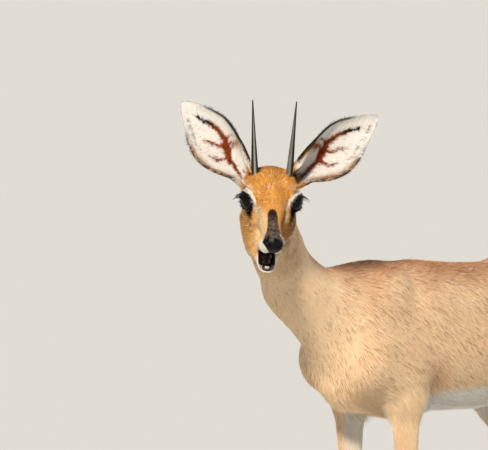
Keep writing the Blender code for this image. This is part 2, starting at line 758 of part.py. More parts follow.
def eye_object(name, side, grow=0.0):
    bm = bmesh.new()
    place = Matrix.Translation(eye_centre(side))
    bmesh.ops.create_icosphere(bm, subdivisions=3, radius=EYE_RADIUS + grow, matrix=place)
    return object_from(name, bm)


# Hooves: two claws to a foot, flat under

CLAW_SOLE = ((2.35, 0.16), (1.9, 0.62), (1.0, 0.98), (0.0, 1.08), (-0.9, 0.98), (-1.35, 0.6), (-1.45, 0.12))
CLAW_TOP = ((1.0, 0.14), (0.75, 0.55), (0.2, 0.86), (-0.4, 0.95), (-1.0, 0.88), (-1.35, 0.55), (-1.42, 0.12))


def claw_object(name, toe, outward):
    centre = Vector((toe[0] + 0.35, toe[1], 0.0))
    bm = bmesh.new()
    for height, outline in ((0.0, CLAW_SOLE), (3.4, CLAW_TOP)):
        for x, y in outline:
            bm.verts.new(centre + Vector((x, y * outward, height)))
            bm.verts.new(centre + Vector((x, 0.10 * outward, height)))
    bmesh.ops.remove_doubles(bm, verts=bm.verts[:], dist=0.05)
    bmesh.ops.convex_hull(bm, input=bm.verts[:])
    spare = [v for v in bm.verts if not v.link_faces]
    bmesh.ops.delete(bm, geom=spare, context="VERTS")
    bmesh.ops.recalc_face_normals(bm, faces=bm.faces[:])
    claw = object_from(name, bm)
    point, way = hoof_cut(toe)
    return clip(claw, point, -way)


def tongue_shapes():
    return [
        taper((2.9, 0, -3.62), (3.8, 0, -3.72), 0.36, 0.34, 0.3, "jaw", width=1.5),
        taper((3.8, 0, -3.72), (4.75, 0, -3.74), 0.34, 0.22, 0.4, "jaw", width=1.6),
    ]


def teeth_shapes(blend=0.12):
    """The front teeth of the lower jaw, a fan of six with the middle pair broadest."""
    shapes = []
    for index in range(6):
        across = (index - 2.5) * 0.17
        broad = 0.15 - 0.05 * abs(across)
        root = (5.55 - 0.4 * across * across, across * 0.9, -4.0)
        edge = (5.8 - 0.6 * across * across, across * 1.1, -3.42)
        shapes.append(taper(root, edge, 0.12, broad, blend, "jaw"))
    return shapes


def main():
    for old in list(bpy.data.objects):
        bpy.data.objects.remove(old)
    made = flesh_nodes()
    made["tongue"] = flesh_object("tongue", tongue_shapes(), tongue_shapes(), [], 0.14, 0.12)
    made["lower_teeth"] = flesh_object("lower_teeth", teeth_shapes(), teeth_shapes(), [], 0.07, 0.13)
    for where, side in (("left", LEFT), ("right", RIGHT)):
        cut_from(made["head"], eye_object("socket", side, GAP))
        made["eye_" + where] = eye_object("eye_" + where, side)
        made["horn_" + where] = horn_object(where)
        made["ear_" + where] = ear_object(where)
    for where in ("left", "right"):
        cut_from(made["head"], grown_copy(made["horn_" + where], GAP))
        for name in ("head", "neck"):
            cut_from(made["ear_" + where], grown_copy(made[name], GAP))
        cut_from(made["ear_" + where], grown_copy(made["horn_" + where], GAP))
    for name in ("tongue", "lower_teeth"):
        cut_from(made[name], grown_copy(made["lower_jaw"], GAP))
    cut_from(made["tongue"], grown_copy(made["lower_teeth"], GAP))
    tail_object = flesh_object("tail", tail_shapes(), tail_shapes(), [], 0.3, 0.14)
    made["tail"] = cut_from(tail_object, grown_copy(made["torso"], GAP))
    for name, stances in (("fore", FORELEGS), ("hind", HINDLEGS)):
        for where, stance in stances.items():
            for claw, outward in (("outer", stance[0]), ("inner", -stance[0])):
                node = "hoof_" + name + "_" + where + "_" + claw
                made[node] = claw_object(node, stance[-1], outward)

    corners = np.concatenate([vertices_of(obj.data) for obj in made.values()])
    low, high = corners.min(axis=0), corners.max(axis=0)
    shift = Vector((-(low[0] + high[0]) / 2, -(low[1] + high[1]) / 2, -low[2]))
    for name, obj in made.items():
        obj.name = obj.data.name = name
        obj.data.transform(Matrix.Scale(CM, 4) @ Matrix.Translation(shift))
        finish = FINISH[finish_of(name)]
        obj.data.materials.clear()
        obj.data.materials.append(material_named(name, *finish))
        print(name, len(obj.data.polygons), [round(v, 2) for v in obj.dimensions])
    print("shift", [round(v, 4) for v in shift], "size", (high - low).round(2))


# Finishes: colour as seen, roughness

FINISH = {
    "coat": ("C48A58", 0.85),
    "coat_pale": ("E4D9C8", 0.88),
    "ear_skin": ("B9A089", 0.8),
    "horn": ("2B2826", 0.42),
    "eye": ("120C09", 0.06),
    "hoof": ("241E1B", 0.45),
    "tongue": ("C98A84", 0.35),
    "tooth": ("EDE6D6", 0.3),
}


def finish_of(name):
    for start, finish in (
        ("ear_", "ear_skin"),
        ("horn_", "horn"),
        ("eye_", "eye"),
        ("hoof_", "hoof"),
        ("tongue", "tongue"),
        ("lower_teeth", "tooth"),
        ("lower_jaw", "coat_pale"),
        ("tail", "coat"),
    ):
        if name.startswith(start):
            return finish
    return "coat"


def linear(code):
    values = [int(code[i : i + 2], 16) / 255 for i in (0, 2, 4)]
    return [v / 12.92 if v <= 0.04045 else ((v + 0.055) / 1.055) ** 2.4 for v in values] + [1.0]


def material_named(name, colour, roughness):
    made = bpy.data.materials.new(name + "_finish")
    made.use_nodes = True
    shader = made.node_tree.nodes["Principled BSDF"]
    shader.inputs["Base Color"].default_value = linear(colour)
    shader.inputs["Roughness"].default_value = roughness
    shader.inputs["Metallic"].default_value = 0.0
    return made


main()
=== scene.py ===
"""The looks of the steenbok ram: one skin over the whole body, its coat of hair tufts, the eyes, horns,
hooves, tongue and teeth, the camera and a plain studio.

Shapes are worked out in centimetres in the animal's own measure, with +X ahead, +Y its left and +Z up,
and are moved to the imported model's place, in metres, when a mesh is made.
"""

import json
import math

import bmesh
import bpy
import numpy as np
from mathutils import Matrix, Vector

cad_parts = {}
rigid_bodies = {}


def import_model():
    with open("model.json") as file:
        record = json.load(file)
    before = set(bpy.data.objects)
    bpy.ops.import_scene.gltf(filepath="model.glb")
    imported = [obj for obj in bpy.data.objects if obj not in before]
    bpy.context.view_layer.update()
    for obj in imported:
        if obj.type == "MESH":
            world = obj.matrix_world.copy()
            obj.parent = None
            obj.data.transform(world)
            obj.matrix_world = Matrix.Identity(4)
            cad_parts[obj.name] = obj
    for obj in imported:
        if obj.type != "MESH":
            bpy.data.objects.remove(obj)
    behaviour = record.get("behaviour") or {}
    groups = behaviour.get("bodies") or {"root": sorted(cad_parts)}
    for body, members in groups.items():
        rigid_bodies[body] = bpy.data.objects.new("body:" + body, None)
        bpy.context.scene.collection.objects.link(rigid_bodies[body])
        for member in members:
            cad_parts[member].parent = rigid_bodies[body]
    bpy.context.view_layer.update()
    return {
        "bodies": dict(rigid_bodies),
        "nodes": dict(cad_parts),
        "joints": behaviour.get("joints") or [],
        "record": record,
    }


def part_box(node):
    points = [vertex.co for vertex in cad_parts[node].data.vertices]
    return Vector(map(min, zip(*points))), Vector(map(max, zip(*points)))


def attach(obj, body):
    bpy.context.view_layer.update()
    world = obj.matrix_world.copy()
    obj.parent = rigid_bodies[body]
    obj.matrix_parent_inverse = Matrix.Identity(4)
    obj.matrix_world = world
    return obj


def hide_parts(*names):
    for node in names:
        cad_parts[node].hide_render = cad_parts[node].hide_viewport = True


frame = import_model()

CM = 0.01
LEFT, RIGHT = 1.0, -1.0
SEED = 20
# The camera stands this far round from straight ahead of the animal, and this far up, in degrees
PHI = 42.0
RISE = 4.5

# The animal's driving sizes, as in its solids
HIP_X = -15.0
EYES_MIDDLE = Vector((37.23, 6.57, 57.5))
HEAD_TURN = math.radians(44.5)
HEAD_DROP = math.radians(22.0)
HEAD_ROLL = math.radians(-2.6)
JAW_HINGE = Vector((-3.6, 0.0, -1.6))
JAW_OPEN = math.radians(15.5)
JAW_SWING = -0.36
EYE_RADIUS = 1.36
EYE_PLACE = Vector((-0.15, 2.22, 0.2))
EYE_LOOK = Vector((0.60, 0.79, 0.12)).normalized()
HORN_LENGTH = 9.15
HORN_BASE_RADIUS = 0.47
HORN_TIP_RADIUS = 0.07
HORN_LEAN = math.radians(31.0)
HORN_SPREAD = math.radians(3.6)
EAR_LENGTH = 11.5


def head_matrix():
    turn = Matrix.Rotation(HEAD_TURN, 4, "Z") @ Matrix.Rotation(HEAD_DROP, 4, "Y")
    return Matrix.Translation(EYES_MIDDLE) @ turn @ Matrix.Rotation(HEAD_ROLL, 4, "X")


def jaw_matrix():
    opened = Matrix.Rotation(JAW_OPEN, 4, "Y")
    swing = Matrix.Translation((0.0, JAW_SWING, 0.0))
    return head_matrix() @ swing @ Matrix.Translation(JAW_HINGE) @ opened @ Matrix.Translation(-JAW_HINGE)


FRAMES = {"world": Matrix.Identity(4), "head": head_matrix(), "jaw": jaw_matrix()}


def in_head(point):
    return FRAMES["head"] @ Vector(point)


def head_way(way):
    return FRAMES["head"].to_3x3() @ Vector(way)


def local(points, name):
    """Points in the head's or the jaw's own frame."""
    inverse = np.array(FRAMES[name].inverted())
    return points @ inverse[:3, :3].T + inverse[:3, 3]


def local_ways(ways, name):
    return ways @ np.array(FRAMES[name].inverted())[:3, :3].T


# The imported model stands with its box's middle at the origin: the left eye shows the shift
eye_low, eye_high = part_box("eye_left")
SHIFT = (eye_low + eye_high) / 2 / CM - in_head(EYE_PLACE)


def placed(points):
    return (np.asarray(points, float) + np.array(SHIFT)) * CM


# Shapes of the flesh


def turned(pitch=0.0, yaw=0.0, roll=0.0):
    spin = Matrix.Rotation(math.radians(yaw), 3, "Z") @ Matrix.Rotation(math.radians(pitch), 3, "Y")
    return spin @ Matrix.Rotation(math.radians(roll), 3, "X")


def ball(centre, radii, blend=1.0, frame="world", **turn):
    radii = (radii,) * 3 if isinstance(radii, (int, float)) else radii
    return {
        "kind": "ball",
        "centre": np.array(centre, float),
        "radii": np.array(radii, float),
        "spin": np.array(turned(**turn)),
        "blend": blend,
        "frame": frame,
        "middle": np.array(centre, float),
        "reach": max(radii),
    }


def taper(start, end, start_radius, end_radius, blend=1.0, frame="world", width=1.0, side=(0, 1, 0)):
    """A round-ended taper. width stretches it along side, across its own line."""
    start, end, side = (np.array(v, float) for v in (start, end, side))
    return {
        "kind": "taper",
        "start": start,
        "end": end,
        "radii": (start_radius, end_radius),
        "width": width,
        "side": side / np.linalg.norm(side),
        "blend": blend,
        "frame": frame,
        "middle": (start + end) / 2,
        "reach": np.linalg.norm(end - start) / 2 + max(start_radius, end_radius) * max(1.0, width),
    }


def ring(centre, axis, upright, radii, thickness, blend=0.2, frame="head"):
    """An oval rim such as an eyelid. radii are its half length and half height."""
    axis = Vector(axis).normalized()
    long_way = Vector(upright).cross(axis).normalized()
    spin = np.array((long_way, axis.cross(long_way), axis)).T
    return {
        "kind": "ring",
        "centre": np.array(centre, float),
        "radii": radii,
        "thickness": thickness,
        "spin": spin,
        "blend": blend,
        "frame": frame,
        "middle": np.array(centre, float),
        "reach": max(radii) + thickness,
    }


def ball_gap(shape, points):
    offset = (points - shape["centre"]) @ shape["spin"]
    scaled = np.linalg.norm(offset / shape["radii"], axis=1)
    steep = np.linalg.norm(offset / shape["radii"] ** 2, axis=1)
    return scaled * (scaled - 1.0) / np.maximum(steep, 1e-6)


def taper_gap(shape, points):
    start, end, (r_start, r_end) = shape["start"], shape["end"], shape["radii"]
    along = end - start
    length2 = along @ along
    offset = points - start
    y = offset @ along
    across = offset - np.outer(y / length2, along)
    if shape["width"] != 1.0:
        sideways = across @ shape["side"]
        across = across - np.outer(sideways * (1.0 - 1.0 / shape["width"]), shape["side"])
    drop = r_start - r_end
    slope = length2 - drop * drop
    x2 = (across * across).sum(axis=1) * length2 * length2
    z = y - length2
    y2, z2 = y * y * length2, z * z * length2
    side_test = np.sign(drop) * drop * drop * x2
    gap = (np.sqrt(x2 * slope / length2) + y * drop) / length2 - r_start
    gap = np.where(np.sign(z) * slope * z2 > side_test, np.sqrt(x2 + z2) / length2 - r_end, gap)
    return np.where(np.sign(y) * slope * y2 < side_test, np.sqrt(x2 + y2) / length2 - r_start, gap)


def ring_gap(shape, points):
    offset = (points - shape["centre"]) @ shape["spin"]
    reach = np.linalg.norm(offset[:, :2] / shape["radii"], axis=1)
    return np.hypot((reach - 1.0) * min(shape["radii"]), offset[:, 2]) - shape["thickness"]


GAPS = {"ball": ball_gap, "taper": taper_gap, "ring": ring_gap}
FAR = 60.0
LOOK_ROUND = 4.0


def nearby_gap(shape, points):
    near = np.linalg.norm(points - shape["middle"], axis=1) < shape["reach"] + LOOK_ROUND
    gap = np.full(len(points), FAR)
    if near.any():
        gap[near] = GAPS[shape["kind"]](shape, points[near])
    return gap


def blended(a, b, reach):
    both = np.maximum(reach - np.abs(a - b), 0.0)
    return np.minimum(a, b) - both * both / (4.0 * reach)


def flesh_gap(shapes, hollows, points):
    """Signed distance to the blended body: below zero inside."""
    in_frame = {"world": points, "head": local(points, "head"), "jaw": local(points, "jaw")}
    gap = np.full(len(points), FAR)
    for shape in shapes:
        gap = blended(gap, nearby_gap(shape, in_frame[shape["frame"]]), shape["blend"])
    for shape in hollows:
        gap = -blended(-gap, nearby_gap(shape, in_frame[shape["frame"]]), shape["blend"])
    return gap


def trunk_shapes():
    shapes = [
        ball((7.5, 0, 39.7), (12.6, 5.5, 8.9), 1.5),
        ball((-3.5, 0, 38.7), (12.8, 5.9, 8.0), 3.0),
        taper((6, 0, 43.8), (-12, 0, 43.6), 3.9, 4.0, 3.0, width=1.12),
        ball((-15.5, 0, 43.0), (7.6, 4.9, 5.7), 3.0),
        ball((14.9, 0, 45.4), (6.4, 2.5, 3.8), 3.0),
        ball((16.8, 0, 38.6), (3.6, 3.8, 5.6), 2.8),
        taper((17.2, 0, 35.2), (8.0, 0, 34.0), 2.5, 2.9, 2.8),
    ]
    for side in (LEFT, RIGHT):
        shapes += [
            ball((14.9, 3.2 * side, 42.0), (3.1, 1.9, 6.9), 2.6, pitch=-27),
            ball((17.2, 3.1 * side, 38.2), (2.6, 2.3, 3.0), 2.6),
            taper((16.4, 3.6 * side, 37.4), (11.6, 4.0 * side, 33.8), 2.5, 2.3, 2.4),
            ball((11.6, 4.1 * side, 36.6), (3.3, 1.6, 4.4), 2.4, pitch=20),
            ball((-12.4, 4.2 * side, 45.3), (2.0, 1.1, 1.7), 2.8),
        ]
    return shapes


def neck_shapes():
    return [
        taper((17.0, 0, 41.9), (25.3, 0.1, 46.4), 5.4, 3.75, 2.5, width=0.76),
        taper((25.3, 0.1, 46.4), (30.1, 0.9, 51.7), 3.75, 3.2, 1.5, width=0.82),
        taper((30.1, 0.9, 51.7), (33.3, 2.6, 57.0), 3.2, 2.75, 1.5, width=0.9),
        taper((29.0, 0.5, 49.5), (27.0, 0, 46.9), 2.75, 2.9, 1.5, width=0.95),
        taper((27.0, 0, 46.9), (19.0, 0, 39.4), 2.9, 3.0, 1.6, width=0.95),
    ]


def tail_shapes():
    return [
        taper((-21.0, 0, 45.5), (-24.4, 0, 44.6), 1.5, 1.2, 1.0, width=1.25),
        taper((-24.4, 0, 44.6), (-25.8, 0, 41.4), 1.2, 1.0, 0.9, width=1.35),
        taper((-25.8, 0, 41.4), (-26.0, 0, 39.0), 1.0, 0.45, 0.9, width=1.3),
    ]


def foreleg_shapes(side, elbow, knee, fetlock, toe):
    out = np.array((0.0, side, 0.0))
    elbow, knee, fetlock, toe = (np.array(p, float) for p in (elbow, knee, fetlock, toe))
    shank = elbow * 0.45 + knee * 0.55
    return [
        taper(elbow + (0.2, 0, 1.2), shank, 2.25, 1.4, 1.8, width=0.84),
        taper(shank, knee + (0, 0, 1.4), 1.4, 1.1, 1.0, width=0.92),
        ball(knee + (0.12, 0, 0), (1.15, 1.08, 1.8), 1.2),
        taper(knee - (0.05, 0, 1.0), fetlock + (0, 0, 0.6), 0.95, 0.84, 1.0, width=0.9),
        taper(knee - (0.5, 0, 1.6), fetlock + (-0.35, 0, 0.8), 0.5, 0.5, 0.7),
        ball(fetlock, (1.02, 0.98, 1.1), 1.0),
        taper(fetlock, toe + (0, 0, 0.4), 0.88, 0.98, 1.0, width=1.05),
        taper(toe + out * 0.45, toe + out * 0.5 + (0.7, 0, -0.7), 0.75, 0.62, 0.4),
        taper(toe - out * 0.45, toe - out * 0.5 + (0.7, 0, -0.7), 0.75, 0.62, 0.4),
    ]


def hindleg_shapes(side, stifle, hock, fetlock, toe):
    out = np.array((0.0, side, 0.0))
    stifle, hock, fetlock, toe = (np.array(p, float) for p in (stifle, hock, fetlock, toe))
    hip = np.array((HIP_X, 4.0 * side, 43.5))
    heel = hock + (-1.35, 0, 0.9)
    seat = np.array((-20.9, 3.0 * side, 40.6))
    calf = stifle * 0.45 + hock * 0.55
    thigh = (hip + stifle + seat * 0.6) / 2.6
    return [
        ball(thigh - out * 0.1, (6.3, 2.45, 7.0), 2.2, pitch=-18),
        taper(hip, stifle + (-0.6, 0, 0.2), 3.3, 2.3, 2.0, width=0.72),
        ball(seat, (2.7, 2.1, 5.6), 2.2, pitch=-8),
        taper(seat - (0, 0, 3.5), calf + (-1.0, 0, 1.0), 2.1, 1.35, 2.0, width=0.7),
        taper(stifle + (-0.2, 0, -0.4), calf, 2.25, 1.55, 1.6, width=0.74),
        taper(thigh + (-0.4, 0, -4.0), calf + (0, 0, 1.0), 3.3, 1.6, 2.2, width=0.64),
        taper(calf, hock + (0.2, 0, 1.2), 1.55, 1.05, 1.0, width=0.8),
        taper(calf + (-1.4, 0, 1.5), heel, 0.85, 0.55, 0.9, width=0.75),
        ball(hock, (1.3, 1.02, 1.7), 1.1, pitch=15),
        ball(heel + (0.1, 0, -0.1), (0.72, 0.7, 0.9), 0.8),
        taper(hock + (-0.1, 0, -1.2), fetlock + (0, 0, 1.0), 0.98, 0.84, 0.8, width=0.88),
        taper(hock + (-0.7, 0, -1.4), fetlock + (-0.35, 0, 1.0), 0.55, 0.5, 0.6),
        ball(fetlock, (1.06, 1.0, 1.12), 1.0),
        taper(fetlock, toe + (0, 0, 0.4), 0.9, 1.0, 1.0, width=1.03),
        taper(toe + out * 0.45, toe + out * 0.5 + (0.7, 0, -0.5), 0.75, 0.62, 0.4),
        taper(toe - out * 0.45, toe - out * 0.5 + (0.7, 0, -0.5), 0.75, 0.62, 0.4),
    ]


FORELEGS = {
    "left": (LEFT, (11.2, 4.1, 31.2), (10.8, 3.8, 17.9), (10.4, 3.8, 5.7), (11.3, 3.8, 3.0)),
    "right": (RIGHT, (11.7, -4.1, 31.2), (11.9, -3.8, 17.9), (11.8, -3.8, 5.7), (12.7, -3.8, 3.0)),
}
HINDLEGS = {
    "left": (LEFT, (-7.0, 4.6, 35.2), (-17.6, 4.2, 20.6), (-15.8, 4.1, 5.8), (-14.8, 4.1, 3.0)),
    "right": (RIGHT, (-8.6, -4.6, 35.2), (-21.6, -4.2, 20.8), (-21.6, -4.1, 5.8), (-20.6, -4.1, 3.0)),
}


def eye_in_head(side):
    """The eye's centre and the way it looks."""
    eye = Vector((EYE_PLACE.x, EYE_PLACE.y * side, EYE_PLACE.z))
    return eye, Vector((EYE_LOOK.x, EYE_LOOK.y * side, EYE_LOOK.z))


def head_shapes():
    shapes = [
        ball((-3.4, 0, 0.2), (3.0, 2.55, 2.3), 1.0, "head"),
        ball((-0.9, 0, 0.55), (2.9, 2.2, 1.95), 1.2, "head"),
        ball((-5.2, 0, -0.6), (1.7, 2.1, 2.1), 1.2, "head"),
        taper((0.0, 0, -1.0), (5.6, 0, -2.2), 2.15, 1.2, 1.2, "head", width=0.9),
        taper((0.6, 0, 0.5), (6.35, 0, -1.45), 1.25, 0.74, 0.9, "head"),
        ball((6.7, 0, -2.1), (0.85, 1.22, 0.95), 0.35, "head"),
        taper((-1.5, 0, -3.0), (-4.6, 0, -3.6), 2.0, 2.3, 1.5, "head"),
    ]
    for side in (LEFT, RIGHT):
        eye, look = eye_in_head(side)
        shapes += [
            ball(eye - look * 0.16, 1.40, 0.9, "head"),
            taper((-1.6, 1.7 * side, 1.35), (0.6, 2.5 * side, 0.95), 0.85, 0.5, 0.9, "head"),
            taper((1.0, 1.7 * side, -1.9), (-3.0, 2.1 * side, -1.9), 0.85, 0.85, 0.9, "head"),
            ball((-1.9, 1.85 * side, -2.9), (2.5, 0.9, 2.1), 1.0, "head", pitch=12),
            taper((-1.2, 1.55 * side, -3.2), (2.5, 1.02 * side, -3.75), 1.3, 0.72, 1.0, "head"),
            ball((5.2, 0.88 * side - 0.17, -2.85), (1.8, 0.63, 0.62), 0.5, "head", yaw=-9 * side),
            ball((-4.2, 2.0 * side, 0.6), (1.1, 0.9, 1.0), 1.4, "head"),
            ball((-1.5, 1.75 * side, 1.85), (1.0, 0.8, 0.9), 0.9, "head"),
            ring(eye + look * 0.90, look, (-0.25, 0, 1), (1.16, 0.94), 0.17, 0.3),
        ]
    return shapes


def jaw_shapes():
    """The lower jaw, its lip and chin, and the full cheek of the side that chews."""
    shapes = [
        ball((5.4, 0, -3.9), (1.05, 1.05, 0.6), 0.3, "jaw"),
        ball((1.1, -1.5, -3.5), (2.7, 0.95, 1.35), 1.5, "jaw"),
        taper((-2.0, 0, -4.0), (3.0, 0, -4.15), 1.0, 0.55, 0.9, "jaw", width=1.3),
    ]
    for side in (LEFT, RIGHT):
        shapes += [
            taper((-2.6, 1.6 * side, -3.6), (2.0, 1.05 * side, -4.0), 1.3, 0.75, 1.0, "jaw"),
            taper((2.0, 1.05 * side, -4.0), (5.2, 0.68 * side, -3.72), 0.75, 0.4, 0.4, "jaw"),
        ]
    return shapes


def mouth_rooms():
    """The open mouth: between the lips, along the lower jaw, over the chin and under the palate."""
    return [
        taper((3.1, 0, -3.75), (7.8, 0, -4.6), 0.2, 1.12, 0.25, "head", width=1.2),
        taper((2.9, 0, -3.35), (5.0, 0, -3.25), 0.5, 0.62, 0.2, "jaw", width=1.34),
        ball((5.55, 0, -3.42), (0.86, 0.85, 0.5), 0.15, "jaw"),
        taper((2.9, 0, -3.3), (5.3, 0, -3.3), 0.4, 0.5, 0.25, "head", width=1.3),
    ]


def face_hollows():
    """The cleft of the upper lip, the nostrils and the openings between the lids."""
    hollows = [ball((7.5, 0, -2.8), (0.35, 0.07, 0.5), 0.12, "head")]
    for side in (LEFT, RIGHT):
        eye, look = eye_in_head(side)
        yaw = math.degrees(math.atan2(look.y, look.x))
        hollows += [
            ball((7.35, 0.64 * side, -1.9), (0.55, 0.17, 0.36), 0.1, "head", yaw=-28 * side, roll=35 * side),
            ball(eye + look * 1.25, (0.62, 1.16, 0.92), 0.15, "head", yaw=yaw, pitch=-7, roll=-14 * side),
        ]
    return hollows


def tongue_shapes():
    return [
        taper((2.9, 0, -3.62), (3.8, 0, -3.72), 0.36, 0.34, 0.3, "jaw", width=1.5),
        taper((3.8, 0, -3.72), (4.75, 0, -3.74), 0.34, 0.22, 0.4, "jaw", width=1.6),
    ]


def teeth_shapes(blend=0.12):
    """The front teeth of the lower jaw, a fan of six with the middle pair broadest."""
    shapes = []
    for index in range(6):
        across = (index - 2.5) * 0.17
        broad = 0.15 - 0.05 * abs(across)
        root = (5.55 - 0.4 * across * across, across * 0.9, -4.0)
        edge = (5.8 - 0.6 * across * across, across * 1.1, -3.42)
        shapes.append(taper(root, edge, 0.12, broad, blend, "jaw"))
    return shapes


LEG_SHAPES = {}
for where, stance in FORELEGS.items():
    LEG_SHAPES["foreleg_" + where] = foreleg_shapes(*stance)
for where, stance in HINDLEGS.items():
    LEG_SHAPES["hindleg_" + where] = hindleg_shapes(*stance)
BODY = trunk_shapes() + neck_shapes() + tail_shapes()
BODY += [shape for leg in LEG_SHAPES.values() for shape in leg] + head_shapes() + jaw_shapes()
HOLLOWS = mouth_rooms() + face_hollows()
HOLLOWS += [ball(eye_in_head(side)[0], EYE_RADIUS - 0.02, 0.02, "head") for side in (LEFT, RIGHT)]


def smooth_step(low, high, values):
    share = np.clip((values - low) / (high - low), 0.0, 1.0)
    return share * share * (3.0 - 2.0 * share)


def coat_depth(points):
    """How far the skin lies inside the coat's outline."""
    in_face = local(points, "head")
    depth = 0.30 - 0.16 * smooth_step(30.0, 22.0, points[:, 2])
    to_head = np.linalg.norm(in_face - (-1.0, 0.0, -1.0), axis=1)
    depth = depth + (0.10 - depth) * smooth_step(9.0, 6.5, to_head)
    return depth * (1.0 - 0.9 * smooth_step(5.4, 6.4, in_face[:, 0]) * (to_head < 9.5))


def skin_gap(points):
    return flesh_gap(BODY, HOLLOWS, points) + coat_depth(points)


# Meshes by numbers


def vertices_of(mesh):
    flat = np.empty(len(mesh.vertices) * 3, np.float32)
    mesh.vertices.foreach_get("co", flat)
    return flat.reshape(-1, 3).astype(float)


def edges_of(mesh):
    flat = np.empty(len(mesh.edges) * 2, np.int32)
    mesh.edges.foreach_get("vertices", flat)
    return flat.reshape(-1, 2)


def neighbours_mean(points, edges):
    total, count = np.zeros_like(points), np.zeros(len(points))
    for a, b in ((0, 1), (1, 0)):
        np.add.at(total, edges[:, a], points[edges[:, b]])
        np.add.at(count, edges[:, a], 1.0)
    return total / np.maximum(count, 1.0)[:, None]


def settle_on(gap_of, points, rounds, longest_step=0.4):
    step = 0.02
    for _ in range(rounds):
        gap = gap_of(points)
        slope = np.stack([gap_of(points + step * axis) - gap for axis in np.eye(3)], axis=1) / step
        size2 = np.maximum((slope * slope).sum(axis=1), 0.05)
        move = -slope * (gap / size2)[:, None]
        length = np.linalg.norm(move, axis=1, keepdims=True)
        points = points + move * np.minimum(1.0, longest_step / np.maximum(length, 1e-9))
    return points


def linked(name, mesh):
    made = bpy.data.objects.new(name, mesh)
    bpy.context.scene.collection.objects.link(made)
    return made


def mesh_of(bm, name):
    mesh = bpy.data.meshes.new(name)
    bm.to_mesh(mesh)
    bm.free()
    return mesh


def with_modifier(obj, kind, **settings):
    """Applies one modifier to the object's mesh."""
    modifier = obj.modifiers.new(kind.title(), kind)
    for key, value in settings.items():
        setattr(modifier, key, value)
    graph = bpy.context.evaluated_depsgraph_get()
    mesh = bpy.data.meshes.new_from_object(obj.evaluated_get(graph))
    obj.modifiers.clear()
    old = obj.data
    obj.data = mesh
    bpy.data.meshes.remove(old)
    return obj


def fill_balls(shape):
    """Balls that fill a shape, as matrices for a unit ball in the shape's frame."""
    if shape["kind"] == "ball":
        spin = Matrix(shape["spin"].tolist()).to_4x4()
        return [Matrix.Translation(shape["centre"]) @ spin @ Matrix.Diagonal((*shape["radii"], 1.0))]
    if shape["kind"] == "ring":
        return []
    start, end = Vector(shape["start"]), Vector(shape["end"])
    r_start, r_end = shape["radii"]
    count = max(2, math.ceil((end - start).length / (0.5 * min(r_start, r_end))) + 1)
    wide = Matrix.Scale(shape["width"], 4, Vector(shape["side"]))
    places = []
    for step in range(count):
        share = step / (count - 1)
        radius = r_start + (r_end - r_start) * share
        places.append(Matrix.Translation(start.lerp(end, share)) @ wide @ Matrix.Scale(radius, 4))
    return places


def seeds_object(name, shapes, voxel):
    bm = bmesh.new()
    for shape in shapes:
        for place in fill_balls(shape):
            bmesh.ops.create_icosphere(bm, subdivisions=2, radius=1.0, matrix=FRAMES[shape["frame"]] @ place)
    mesh = mesh_of(bm, name)
    return with_modifier(linked(name, mesh), "REMESH", mode="VOXEL", voxel_size=voxel, adaptivity=0.0)


def settle_object(obj, gap_of, rounds=3, longest_step=0.4):
    """Moves the mesh onto gap_of's surface with evenly spread points."""
    edges, points = edges_of(obj.data), vertices_of(obj.data)
    points = settle_on(gap_of, points, 2, longest_step)
    for _ in range(rounds):
        points = points * 0.5 + neighbours_mean(points, edges) * 0.5
        points = settle_on(gap_of, points, 1, longest_step)
    obj.data.vertices.foreach_set("co", points.astype(np.float32).ravel())
    obj.data.update()
    return obj


def finer_where(obj, wanted):
    """Splits each face whose corners all lie where wanted says, into four."""
    keep = wanted(vertices_of(obj.data))
    bm = bmesh.new()
    bm.from_mesh(obj.data)
    bm.verts.ensure_lookup_table()
    edges = [e for e in bm.edges if keep[e.verts[0].index] and keep[e.verts[1].index]]
    bmesh.ops.subdivide_edges(bm, edges=edges, cuts=1, use_grid_fill=True)
    bm.to_mesh(obj.data)
    bm.free()
    return obj


# Ears

EAR_STATIONS = (0.0, 0.06, 0.14, 0.22, 0.32, 0.44, 0.55, 0.66, 0.78, 0.89, 0.96, 0.985, 1.0)
EAR_INNER_HALF = (1.35, 1.7, 2.0, 2.28, 2.48, 2.76, 2.82, 2.55, 2.0, 1.37, 0.92, 0.68, 0.1)
EAR_OUTER_HALF = (1.15, 1.45, 1.94, 2.48, 2.9, 3.08, 2.88, 2.43, 1.67, 1.07, 0.6, 0.36, 0.1)
EAR_INNER_ROLL = (150, 142, 130, 118, 104, 86, 68, 56, 48, 42, 36, 32, 30)
EAR_OUTER_ROLL = (150, 125, 98, 84, 72, 62, 55, 50, 46, 42, 36, 32, 30)
EAR_BOW = 1.26
EAR_ROOT_DEPTH = 1.3
EAR_SKIN = 0.13
EAR_INSET = 0.10
EARS = {
    "left": ((-4.1, 3.03, 1.48), (-0.344, 0.789, 0.510), (0.897, 0.115, 0.426)),
    "right": ((-4.1, -2.86, 1.06), (-0.53, -0.655, 0.539), (0.807, -0.194, 0.558)),
}


def at_stations(values, share):
    """Reads a table given at EAR_STATIONS, rounded between its entries."""
    spread = (-0.04, -0.02, 0.0, 0.02, 0.04)
    return sum(np.interp(share + s, EAR_STATIONS, values) for s in spread) / len(spread)


def ear_frame(where):
    """Root, and unit ways along the ear, out of its cup and across to its outer edge."""
    root, along, facing = EARS[where]
    along = head_way(along).normalized()
    facing = head_way(facing)
    facing = (facing - along * facing.dot(along)).normalized()
    outward = facing.cross(along) if where == "right" else along.cross(facing)
    return tuple(np.array(v) for v in (in_head(root), along, facing, outward))


EAR_FRAMES = {where: ear_frame(where) for where in EARS}


